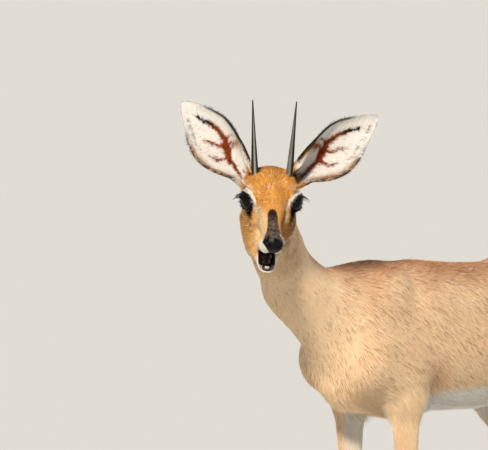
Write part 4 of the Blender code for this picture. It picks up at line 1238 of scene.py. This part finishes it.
def hair_mesh(name, hair, curved):
    """Joined tufts: a spike of four faces each, or a curved lock of ten."""
    roots, normals, ways = hair["roots"], hair["normals"], hair["ways"]
    length, width = hair["length"][:, None], hair["width"][:, None]
    count = len(roots)
    side = np.cross(ways, normals)
    side /= np.maximum(np.linalg.norm(side, axis=1), 1e-6)[:, None]
    over = np.cross(side, ways)
    start = roots - normals * 0.03 - ways * 0.04
    if curved:
        droop = hair["droop"]
        middle = start + ways * length * 0.5 + droop * length * 0.12
        tip = start + ways * length + droop * length * 0.45
        rings = (
            start + side * width * 0.5, start - side * width * 0.5, start + over * width * 0.4,
            middle + side * width * 0.42, middle - side * width * 0.42, middle + over * width * 0.34, tip,
        )
        faces, spread = LOCK_FACES, ((-1, -1), (1, -1), (0, 1), (-0.6, -0.5), (0.6, -0.5), (0, 0.6), (0, 0))
        shade = (0.0, 0.0, 0.0, 0.5, 0.5, 0.5, 1.0)
    else:
        rings = (
            start + side * width * 0.5, start - side * width * 0.5, start + over * width * 0.45,
            start + ways * length,
        )
        faces, spread, shade = SPIKE_FACES, ((-1, -1), (1, -1), (0, 1), (0, 0)), (0.0, 0.0, 0.0, 1.0)
    points = placed(np.stack(rings, axis=1).reshape(-1, 3))
    per = len(rings)
    corners = (faces[None] + np.arange(count)[:, None, None] * per).reshape(-1)
    mesh = bpy.data.meshes.new(name)
    mesh.vertices.add(len(points))
    mesh.vertices.foreach_set("co", points.astype(np.float32).ravel())
    mesh.loops.add(len(corners))
    mesh.loops.foreach_set("vertex_index", corners.astype(np.int32))
    mesh.polygons.add(len(corners) // 3)
    mesh.polygons.foreach_set("loop_start", np.arange(0, len(corners), 3, dtype=np.int32))
    mesh.polygons.foreach_set("use_smooth", np.zeros(len(corners) // 3, bool))
    mesh.update(calc_edges=True)
    share = np.array(shade)[None, :, None]
    colours = hair["root_colour"][:, None] * (1 - share) + hair["tip_colour"][:, None] * share
    colour_in(mesh, colours.reshape(-1, 3))
    centre = bake_places(roots, normals)
    uv = (centre[:, None] + TUFT_PATCH * np.array(spread)[None]).reshape(-1, 2)
    layer = mesh.uv_layers.new(name="OFBake")
    layer.data.foreach_set("uv", uv[corners].astype(np.float32).ravel())
    return mesh


def hair_piece(name, hair, material, curved=False):
    made = linked(name, hair_mesh(name, hair, curved))
    made.data.materials.append(material)
    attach(made, "root")
    return made


def pick(hair, chosen):
    return {key: value[chosen] for key, value in hair.items()}


# The pieces

# How light the skin, a tuft's root and its tip are beside the painted marks
SKIN_SHADE = 0.82
ROOT_SHADE = 0.78
TIP_SHADE = 1.10


def skin_piece():
    """The whole skin, its markings, and the places where hair can grow."""
    obj = skin_object()
    mesh = obj.data
    bm = bmesh.new()
    bm.from_mesh(mesh)
    bmesh.ops.triangulate(bm, faces=bm.faces[:])
    bm.to_mesh(mesh)
    bm.free()
    points, normals = vertices_of(mesh), normals_of(mesh)
    part = parts_of(points, flesh_gap(BODY, [], points))
    colours = marks(points, normals, part) * SKIN_SHADE
    nose, lining = nose_share(points), lining_share(points)
    colours += (PAINT["glass"] - colours) * nose[:, None]
    # Painted shade: the inside of the mouth is coloured near black
    colours += (PAINT["lining"] - colours) * lining[:, None]
    colour_in(mesh, colours)
    triangles = np.empty(len(mesh.polygons) * 3, np.int32)
    mesh.polygons.foreach_get("vertices", triangles)
    triangles = triangles.reshape(-1, 3)
    slots = np.zeros(len(triangles), np.int32)
    slots[nose[triangles].mean(axis=1) > 0.5] = 1
    slots[lining[triangles].mean(axis=1) > 0.5] = 2
    mesh.materials.clear()
    # Hide under short hair: matt and matted, so it only darkens the gaps between tufts. The bare nose is
    # moist pebbled leather, near black with small glints, and the mouth's lining is smooth and wet, its near
    # black colour painted shade.
    for made in (
        painted_finish("short_coat_skin", 0.9, 900.0, 0.5, Specular_IOR_Level=0.05),
        painted_finish("nose_leather", 0.26, 1400.0, 0.5, Specular_IOR_Level=0.2),
        painted_finish("mouth_lining", 0.4, 700.0, 0.3, Specular_IOR_Level=0.3),
    ):
        mesh.materials.append(made)
    mesh.polygons.foreach_set("material_index", slots)
    smooth_faces(mesh)
    settled_in_place(obj)
    nodes = ["torso", "neck", "head", "lower_jaw", "tail", "foreleg_left", "foreleg_right"]
    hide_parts(*nodes, "hindleg_left", "hindleg_right", "ear_left", "ear_right")
    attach(obj, "root")
    where_hair_grows = {"points": points, "normals": normals, "triangles": triangles}
    return {**where_hair_grows, "part": part, "bare": nose + lining}


def coat_growth(points, normals, part):
    """Tufts per square centimetre, their length, width and lift at each place."""
    x, _, z = points.T
    face = local(points, "head")
    leg = smooth_step(32.0, 22.0, z)
    dense = 46.0 + 14.0 * leg
    length = 0.95 - 0.38 * leg
    width = 0.056 - 0.014 * leg
    lift = np.radians(8.5 - 1.0 * leg)
    belly = smooth_step(34.6, 33.0, z) * smooth_step(-0.1, -0.7, normals[:, 2]) * smooth_step(28.0, 30.5, z)
    length += 1.2 * belly
    neck = smooth_step(18.0, 24.0, x)
    length -= 0.3 * neck
    lift -= np.radians(3.0) * neck
    tail = part == PARTS.index("tail")
    length[tail], lift[tail], dense[tail] = 1.7, np.radians(19.0), 90.0
    head = smooth_step(-6.4, -4.4, face[:, 0]) * (np.linalg.norm(face - HEAD_MIDDLE, axis=1) < HEAD_REACH)
    muzzle = smooth_step(0.5, 4.0, face[:, 0])
    dense += (105.0 + 75.0 * muzzle - dense) * head
    length += (0.52 - 0.26 * muzzle - length) * head
    width += (0.040 - 0.011 * muzzle - width) * head
    lift += (np.radians(13.0) - lift) * head
    for where in EARS:
        on = part == PARTS.index("ear_" + where)
        inside = normals[on] @ EAR_FRAMES[where][2] > 0
        dense[on] = np.where(inside, 120.0, 80.0)
        length[on] = np.where(inside, 0.42, 0.36)
        width[on] = 0.038
        lift[on] = np.where(inside, np.radians(13.0), np.radians(9.0))
    return dense, length, width, lift


def grown_coat(skin):
    """All the short tufts of the coat, as arrays."""
    rng = np.random.default_rng(SEED)
    points, normals, triangles = skin["points"], skin["normals"], skin["triangles"]
    density = coat_growth(points, normals, skin["part"])[0]
    density = density * (skin["bare"] < 0.4)
    roots, facing, picks = scatter(points, normals, triangles, density[triangles].mean(axis=1), rng)
    part = skin["part"][triangles[picks, 0]]
    _, length, width, lift = coat_growth(roots, facing, part)
    count = len(roots)
    ways = coat_ways(roots, facing, part)
    flat = laid(ways, facing, np.zeros(count))
    across = np.cross(flat, facing)
    stray = rng.normal(0.0, 0.13, count)[:, None]
    lift = lift * rng.uniform(0.55, 1.35, count)
    ways = laid(flat + across * stray, facing, lift)
    length = length * rng.uniform(0.75, 1.25, count)
    colours = marks(roots, facing, part)
    shade = 1.0 + 0.13 * rng.normal(0.0, 1.0, count) + 0.10 * (mottle(roots, 0.35, 11) - 0.5)
    shade = np.clip(shade, 0.6, 1.35)[:, None]
    face = local(roots, "head")
    forehead = (face[:, 0] > -3.0) & (face[:, 0] < 3.0) & (face[:, 2] > 0.8)
    fleck = (rng.random(count) < WHITE_FLECKS) & forehead
    colours[fleck] = PAINT["white"]
    on_head = part == PARTS.index("head")
    on_body = (part <= PARTS.index("neck")) & (roots[:, 2] > 34.0)
    draw = rng.random(count)
    dark = (on_head & (draw < DARK_HAIRS_HEAD)) | (on_body & (draw < DARK_HAIRS_BODY))
    light = (on_head | on_body) & (draw > 1.0 - LIGHT_HAIRS)
    dark &= ~((part == PARTS.index("neck")) & (draw > DARK_HAIRS_NECK))
    reddish = dark & on_body
    colours[reddish] = colours[reddish] * 0.45 + PAINT["rust"] * 0.55
    shade[dark] *= np.where(on_head[dark], 0.45, 0.85)[:, None]
    colours[light] = colours[light] * 0.35 + PAINT["white"] * 0.65
    broad = np.where(fleck, 2.6, np.where(dark | light, 1.9, 1.0))
    hair = {
        "roots": roots,
        "normals": facing,
        "ways": ways,
        "length": length,
        "width": width * broad * rng.uniform(0.8, 1.25, count),
        "root_colour": colours * shade * ROOT_SHADE,
        "tip_colour": np.clip(colours * shade * TIP_SHADE, 0.0, 1.0),
        "part": part,
    }
    return hair


MOST_TUFTS = 48000
# Shares of the tufts that stand out of the coat as darker or paler hairs
WHITE_FLECKS = 0.009
DARK_HAIRS_HEAD = 0.16
DARK_HAIRS_BODY = 0.08
DARK_HAIRS_NECK = 0.03
LIGHT_HAIRS = 0.02


def coat_pieces(skin):
    hair = grown_coat(skin)
    # Dry guard hair: no gloss to speak of, its marks carried by the colour of each tuft
    coat = painted_finish("coat_hair", 0.9, 0.0, 0.0, Specular_IOR_Level=0.04)
    groups = {"trunk": ("trunk",), "neck": ("neck",), "head": ("head",), "tail": ("tail",)}
    groups.update({name: (name,) for name in PARTS[4:]})
    for name, members in groups.items():
        chosen = np.isin(hair["part"], [PARTS.index(m) for m in members])
        order = np.nonzero(chosen)[0]
        if not len(order):
            continue
        order = order[np.argsort(hair["roots"][order, 0], kind="stable")]
        pieces = np.array_split(order, math.ceil(len(order) / MOST_TUFTS))
        for index, some in enumerate(pieces):
            hair_piece("coat_" + name + "_" + str(index + 1), pick(hair, some), coat)
        print("coat", name, len(order))
    return coat


def uv_ball(name, centre, radius, colours_of, segments=64, rings=40):
    bm = bmesh.new()
    place = Matrix.Translation(centre)
    bmesh.ops.create_uvsphere(bm, u_segments=segments, v_segments=rings, radius=radius, matrix=place)
    mesh = mesh_of(bm, name)
    colour_in(mesh, colours_of(vertices_of(mesh)))
    smooth_faces(mesh)
    return linked(name, mesh)


def eye_piece(where, side):
    place, look = eye_in_head(side)
    centre = in_head(place)
    gaze = np.array(head_way(look))
    level = np.array(head_way((0.0, 0.0, 1.0)))
    level = level - gaze * (level @ gaze)
    level /= np.linalg.norm(level)
    across = np.cross(gaze, level)

    def colours_of(points):
        offset = (points - np.array(centre)) / EYE_RADIUS
        flat = np.hypot(offset @ across / 0.50, offset @ level / 0.24)
        rim = np.hypot(offset @ across, offset @ level)
        rim = np.where(offset @ gaze > 0, rim, 1.0)
        base = np.tile(np.array(linear("0C0705")[:3]), (len(points), 1))
        rays = 0.6 + 0.8 * mottle(points, 0.12, 2)
        base = base * rays[:, None]
        base = painted(base, "glass", smooth_step(1.15, 0.9, flat))
        return painted(base, "glass", smooth_step(0.72, 0.86, rim))

    ball_of_eye = uv_ball("eyeball_" + where, centre, EYE_RADIUS, colours_of)
    settled_in_place(ball_of_eye)
    # Wet cornea over a dark brown iris: a clear gloss that shows as small sharp highlights on near black
    clear = painted_finish("eye_" + where + "_gloss", 0.04, 0.0, 0.0, Specular_IOR_Level=0.14)
    ball_of_eye.data.materials.append(clear)
    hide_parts("eye_" + where)
    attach(ball_of_eye, "root")
    return ball_of_eye


def lash_piece(where, side, rng):
    """A fringe of dark lashes on the upper lid."""
    place, look = eye_in_head(side)
    look, place = np.array(look), np.array(place)
    long_way = np.cross(np.array((-0.25, 0.0, 1.0)), look)
    long_way /= np.linalg.norm(long_way)
    high_way = np.cross(look, long_way)
    count = 44
    outer = -long_way[0] / abs(long_way[0])
    angle = np.radians(rng.uniform(8.0, 150.0, count))
    turn = np.cos(angle) * outer
    rim = place + look * 0.98 + np.outer(turn * 1.12, long_way) + np.outer(np.sin(angle) * 0.88, high_way)
    ways = look * 0.8 + np.outer(turn * 0.7, long_way) + np.outer(0.10 * np.sin(angle), high_way)
    ways += rng.normal(0.0, 0.09, (count, 3))
    ways /= np.linalg.norm(ways, axis=1)[:, None]
    normals = ways * 0.0 + high_way
    turn_to_world = np.array(FRAMES["head"])
    roots = rim @ turn_to_world[:3, :3].T + turn_to_world[:3, 3]
    outer_share = smooth_step(-0.2, 0.9, np.cos(angle))
    dark = np.tile(PAINT["black"], (count, 1))
    hair = {
        "roots": roots,
        "normals": normals @ turn_to_world[:3, :3].T,
        "ways": ways @ turn_to_world[:3, :3].T,
        "length": (0.45 + 0.45 * outer_share) * rng.uniform(0.8, 1.15, count),
        "width": np.full(count, 0.075),
        "droop": np.tile((np.array((0.0, 0.0, -1.1)) @ turn_to_world[:3, :3].T), (count, 1)),
        "root_colour": dark,
        "tip_colour": dark,
    }
    # Stiff black hair with a faint sheen
    lash = painted_finish("lash_" + where, 0.4, 0.0, 0.0)
    return hair_piece("lashes_" + where, hair, lash, curved=True)


def horn_axis(side):
    root = Vector((-1.75, 1.95 * side, 2.1))
    lean = Vector((-math.sin(HORN_LEAN), math.sin(HORN_SPREAD) * side, math.cos(HORN_LEAN)))
    return root, lean.normalized()


def horn_radius(share):
    return HORN_BASE_RADIUS + (HORN_TIP_RADIUS - HORN_BASE_RADIUS) * share


RING_SHARES = (0.055, 0.10, 0.145, 0.19, 0.235, 0.285, 0.34, 0.40)


def horn_piece(where, side):
    root, lean = horn_axis(side)
    turn = Vector((0, 0, 1)).rotation_difference(lean).to_matrix()
    bm = bmesh.new()
    bmesh.ops.create_cone(bm, cap_ends=True, segments=40, radius1=1.0, radius2=1.0, depth=1.0)
    uprights = [e for e in bm.edges if abs(e.verts[0].co.z - e.verts[1].co.z) > 0.5]
    bmesh.ops.subdivide_edges(bm, edges=uprights, cuts=110, use_grid_fill=True)
    shares, rims = [], []
    for vert in bm.verts:
        share = min(max(vert.co.z + 0.5, 0.0), 1.0)
        share = 1.0 - (1.0 - share) ** 1.25
        angle = math.atan2(vert.co.y, vert.co.x)
        ridge = sum(math.exp(-(((share - at) / 0.011) ** 2)) for at in RING_SHARES)
        ridge *= 0.022 * (1.0 - share) * (0.75 + 0.25 * math.sin(angle * 3 + share * 20))
        grain = 0.010 * math.sin(angle * 17 + 2.0 * math.sin(share * 9)) * (1.0 - share)
        radius = horn_radius(share) + ridge + grain
        rim = Vector((radius * math.cos(angle), radius * 0.94 * math.sin(angle), 0))
        shares.append((share, ridge, angle))
        rims.append(root + lean * HORN_LENGTH * share + Vector((0.35 * share * share, 0, 0)) + turn @ rim)
    for vert, rim in zip(bm.verts, rims):
        vert.co = in_head(rim)
    bmesh.ops.recalc_face_normals(bm, faces=bm.faces[:])
    mesh = mesh_of(bm, "horn_sheath_" + where)
    share, ridge, angle = np.array(shares).T
    points = vertices_of(mesh)
    base = np.tile(np.array(linear("1E1C1B")[:3]), (len(points), 1))
    streak = mottle(np.stack((np.cos(angle) * 3, np.sin(angle) * 3, share * 4), axis=1), 0.3, 9)
    base = base * (0.35 + 0.8 * streak)[:, None]
    # Painted highlight: a pale grey streak down each horn, on the side that faces the camera
    middle, broad, amount = (0.75, 1.15, 0.55) if side > 0 else (0.05, 0.42, 1.0)
    from_ahead = np.abs(np.arctan2(np.sin(angle + side * middle), np.cos(angle + side * middle)))
    painted_highlight = smooth_step(broad, broad * 0.5, from_ahead) * (0.55 + 0.6 * streak) * smooth_step(1.0, 0.6, share)
    base = base + (np.array(linear("A8A5A0")[:3]) - base) * (np.clip(amount * painted_highlight, 0.0, 1.0) * 0.6)[:, None]
    base = base * (1.0 - 0.35 * smooth_step(0.55, 0.95, share))[:, None]
    colour_in(mesh, base)
    smooth_faces(mesh)
    made = linked("horn_sheath_" + where, mesh)
    settled_in_place(made)
    # Horn keratin: dark and fibrous, with a dull polish; its paler streak down the side toward the camera is
    # a painted highlight
    horn = painted_finish("horn_" + where + "_keratin", 0.45, 500.0, 0.3, Specular_IOR_Level=0.35)
    made.data.materials.append(horn)
    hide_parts("horn_" + where)
    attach(made, "root")
    return made


CLAW_SOLE = ((2.35, 0.16), (1.9, 0.62), (1.0, 0.98), (0.0, 1.08), (-0.9, 0.98), (-1.35, 0.6), (-1.45, 0.12))
CLAW_TOP = ((1.0, 0.14), (0.75, 0.55), (0.2, 0.86), (-0.4, 0.95), (-1.0, 0.88), (-1.35, 0.55), (-1.42, 0.12))


def claw_piece(node, toe, outward, finish_used):
    """One claw of a hoof: a flat sole drawn up to the coronet."""
    centre = Vector((toe[0] + 0.35, toe[1], 0.0))
    bm = bmesh.new()
    outline = [Vector((x, y * outward, 0.0)) for x, y in CLAW_SOLE]
    outline += [Vector((x, 0.10 * outward, 0.0)) for x, _ in reversed(CLAW_SOLE[:-1])]
    top = [Vector((x, y * outward, 0.0)) for x, y in CLAW_TOP]
    top += [Vector((x, 0.10 * outward, 0.0)) for x, _ in reversed(CLAW_TOP[:-1])]
    sole = bm.faces.new([bm.verts.new(centre + p) for p in outline])
    levels = 8
    face = sole
    for level in range(1, levels + 1):
        share = level / levels
        grown = bmesh.ops.extrude_face_region(bm, geom=[face])
        face = next(g for g in grown["geom"] if isinstance(g, bmesh.types.BMFace))
        for vert, low, high in zip([loop.vert for loop in face.loops], outline, top):
            flat = low.lerp(high, share)
            vert.co = centre + flat + Vector((0.0, 0.0, 2.9 * share))
    if sole.is_valid and sole.normal.z > 0:
        sole.normal_flip()
    bmesh.ops.recalc_face_normals(bm, faces=bm.faces[:])
    bm.faces.ensure_lookup_table()
    edges = [e for e in bm.edges if abs(e.verts[0].co.z - e.verts[1].co.z) < 1e-5 and e.verts[0].co.z < 1e-4]
    bmesh.ops.bevel(bm, geom=edges, offset=0.09, segments=3, profile=0.5, affect="EDGES", material=-1)
    bmesh.ops.recalc_face_normals(bm, faces=bm.faces[:])
    mesh = mesh_of(bm, "claw_" + node)
    points = vertices_of(mesh)
    base = np.tile(np.array(linear("2A221E")[:3]), (len(points), 1))
    colour_in(mesh, base * (0.7 + 0.6 * mottle(points * (1.0, 1.0, 3.0), 0.4, 13))[:, None])
    smooth_faces(mesh)
    made = linked("claw_" + node, mesh)
    settled_in_place(made)
    made.data.materials.append(finish_used)
    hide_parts(node)
    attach(made, "root")
    return made


def mouth_pieces():
    # The tongue is wet muscle with a soft shine, its dark colour painted shade inside the mouth; tooth
    # enamel is pale, smooth and glassy
    tongue_finish = finish("tongue_wet", 0.35, "2C1614", Specular_IOR_Level=0.4)[0]
    tooth_finish = painted_finish("tooth_enamel", 0.3, 0.0, 0.0, Specular_IOR_Level=0.4)
    for name, shapes, voxel, finish_used, slot_name in (
        ("tongue", tongue_shapes(), 0.07, tongue_finish, "tongue"),
        ("lower_teeth", teeth_shapes(0.04), 0.045, tooth_finish, "tooth"),
    ):
        obj = seeds_object("mouth_" + name, shapes, voxel)
        settle_object(obj, lambda points: flesh_gap(shapes, [], points), 2)
        smooth_faces(obj.data)
        if slot_name == "tooth":
            in_jaw = local(vertices_of(obj.data), "jaw")
            across = np.abs(in_jaw[:, 1])
            # Painted shade with staining at the roots: only the middle crowns are pale; outer teeth, roots
            # and the middle gap take the mouth's near black
            crown = smooth_step(-3.6, -3.46, in_jaw[:, 2]) * smooth_step(0.28, 0.16, across)
            crown = crown * (0.25 + 0.75 * smooth_step(0.01, 0.04, across))
            colour_in(obj.data, painted(np.tile(PAINT["lining"], (len(in_jaw), 1)), "tooth", crown))
        settled_in_place(obj)
        obj.data.materials.clear()
        obj.data.materials.append(finish_used)
        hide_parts(name)
        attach(obj, "root")


# Camera, lights and studio

PIXEL = 0.116
FRAME_WIDE = 488
VIEW_MIDDLE = (-15.05 + (244 - 314) * PIXEL, 48.54 - (225 - 256.5) * PIXEL)
CAMERA_AWAY = 25.0
SENSOR = 36.0
KEY_STRENGTH = 3.6
RIM_STRENGTH = 0.7
SKY_STRENGTH = 0.42


def view_ways():
    """Unit ways toward the camera, to its right and up."""
    phi, rise = math.radians(PHI), math.radians(RISE)
    back = Vector((math.cos(phi) * math.cos(rise), math.sin(phi) * math.cos(rise), math.sin(rise)))
    right = Vector((-math.sin(phi), math.cos(phi), 0.0))
    return back, right, back.cross(right)


def camera_and_studio():
    back, right, up = view_ways()
    middle = Vector(placed(right * VIEW_MIDDLE[0] + up * VIEW_MIDDLE[1]))
    camera = bpy.data.cameras.new("camera")
    camera.sensor_width = SENSOR
    camera.lens = SENSOR * CAMERA_AWAY / (FRAME_WIDE * PIXEL * CM)
    camera.clip_start, camera.clip_end = 1.0, 120.0
    stand = linked("camera", camera)
    facing = Matrix((right, up, back)).transposed().to_4x4()
    stand.matrix_world = Matrix.Translation(middle + back * CAMERA_AWAY) @ facing
    bpy.context.scene.camera = stand

    bm = bmesh.new()
    bmesh.ops.create_grid(bm, x_segments=1, y_segments=1, size=45.0)
    mesh = mesh_of(bm, "studio_floor")
    floor = linked("studio_floor", mesh)
    # Matt studio board, which only shows the shadow
    floor.data.materials.append(finish("pale_floor", 0.9, "D9D8D4", Specular_IOR_Level=0.1)[0])

    world = bpy.data.worlds.new("studio")
    world.use_nodes = True
    world.node_tree.nodes["Background"].inputs["Color"].default_value = linear("E8EEF6")
    world.node_tree.nodes["Background"].inputs["Strength"].default_value = SKY_STRENGTH
    bpy.context.scene.world = world
    for name, way, strength, soft, tint in (
        ("key_light", back * 0.85 - right * 0.15 + up * 0.50, KEY_STRENGTH, 7.0, "FFF3E2"),
        ("rim_light", back * -0.4 + right * 0.75 + up * 0.6, RIM_STRENGTH, 30.0, "F4F7FF"),
    ):
        lamp = bpy.data.lights.new(name, "SUN")
        lamp.energy = strength
        lamp.angle = math.radians(soft)
        lamp.color = linear(tint)[:3]
        stand = linked(name, lamp)
        stand.matrix_world = way.to_track_quat("Z", "Y").to_matrix().to_4x4()
    bpy.context.scene.view_settings.view_transform = "Standard"


def main():
    rng = np.random.default_rng(SEED + 1)
    skin = skin_piece()
    coat_pieces(skin)
    for where, side in (("left", LEFT), ("right", RIGHT)):
        eye_piece(where, side)
        lash_piece(where, side, rng)
        horn_piece(where, side)
    # Hoof keratin: dark, lightly grained and faintly polished by the ground
    hoof = painted_finish("hoof_keratin", 0.42, 300.0, 0.3, Coat_Weight=0.15, Coat_Roughness=0.35)
    for name, stances in (("fore", FORELEGS), ("hind", HINDLEGS)):
        for where, stance in stances.items():
            for claw, outward in (("outer", stance[0]), ("inner", -stance[0])):
                claw_piece("hoof_" + name + "_" + where + "_" + claw, stance[-1], outward, hoof)
    mouth_pieces()
    camera_and_studio()


main()
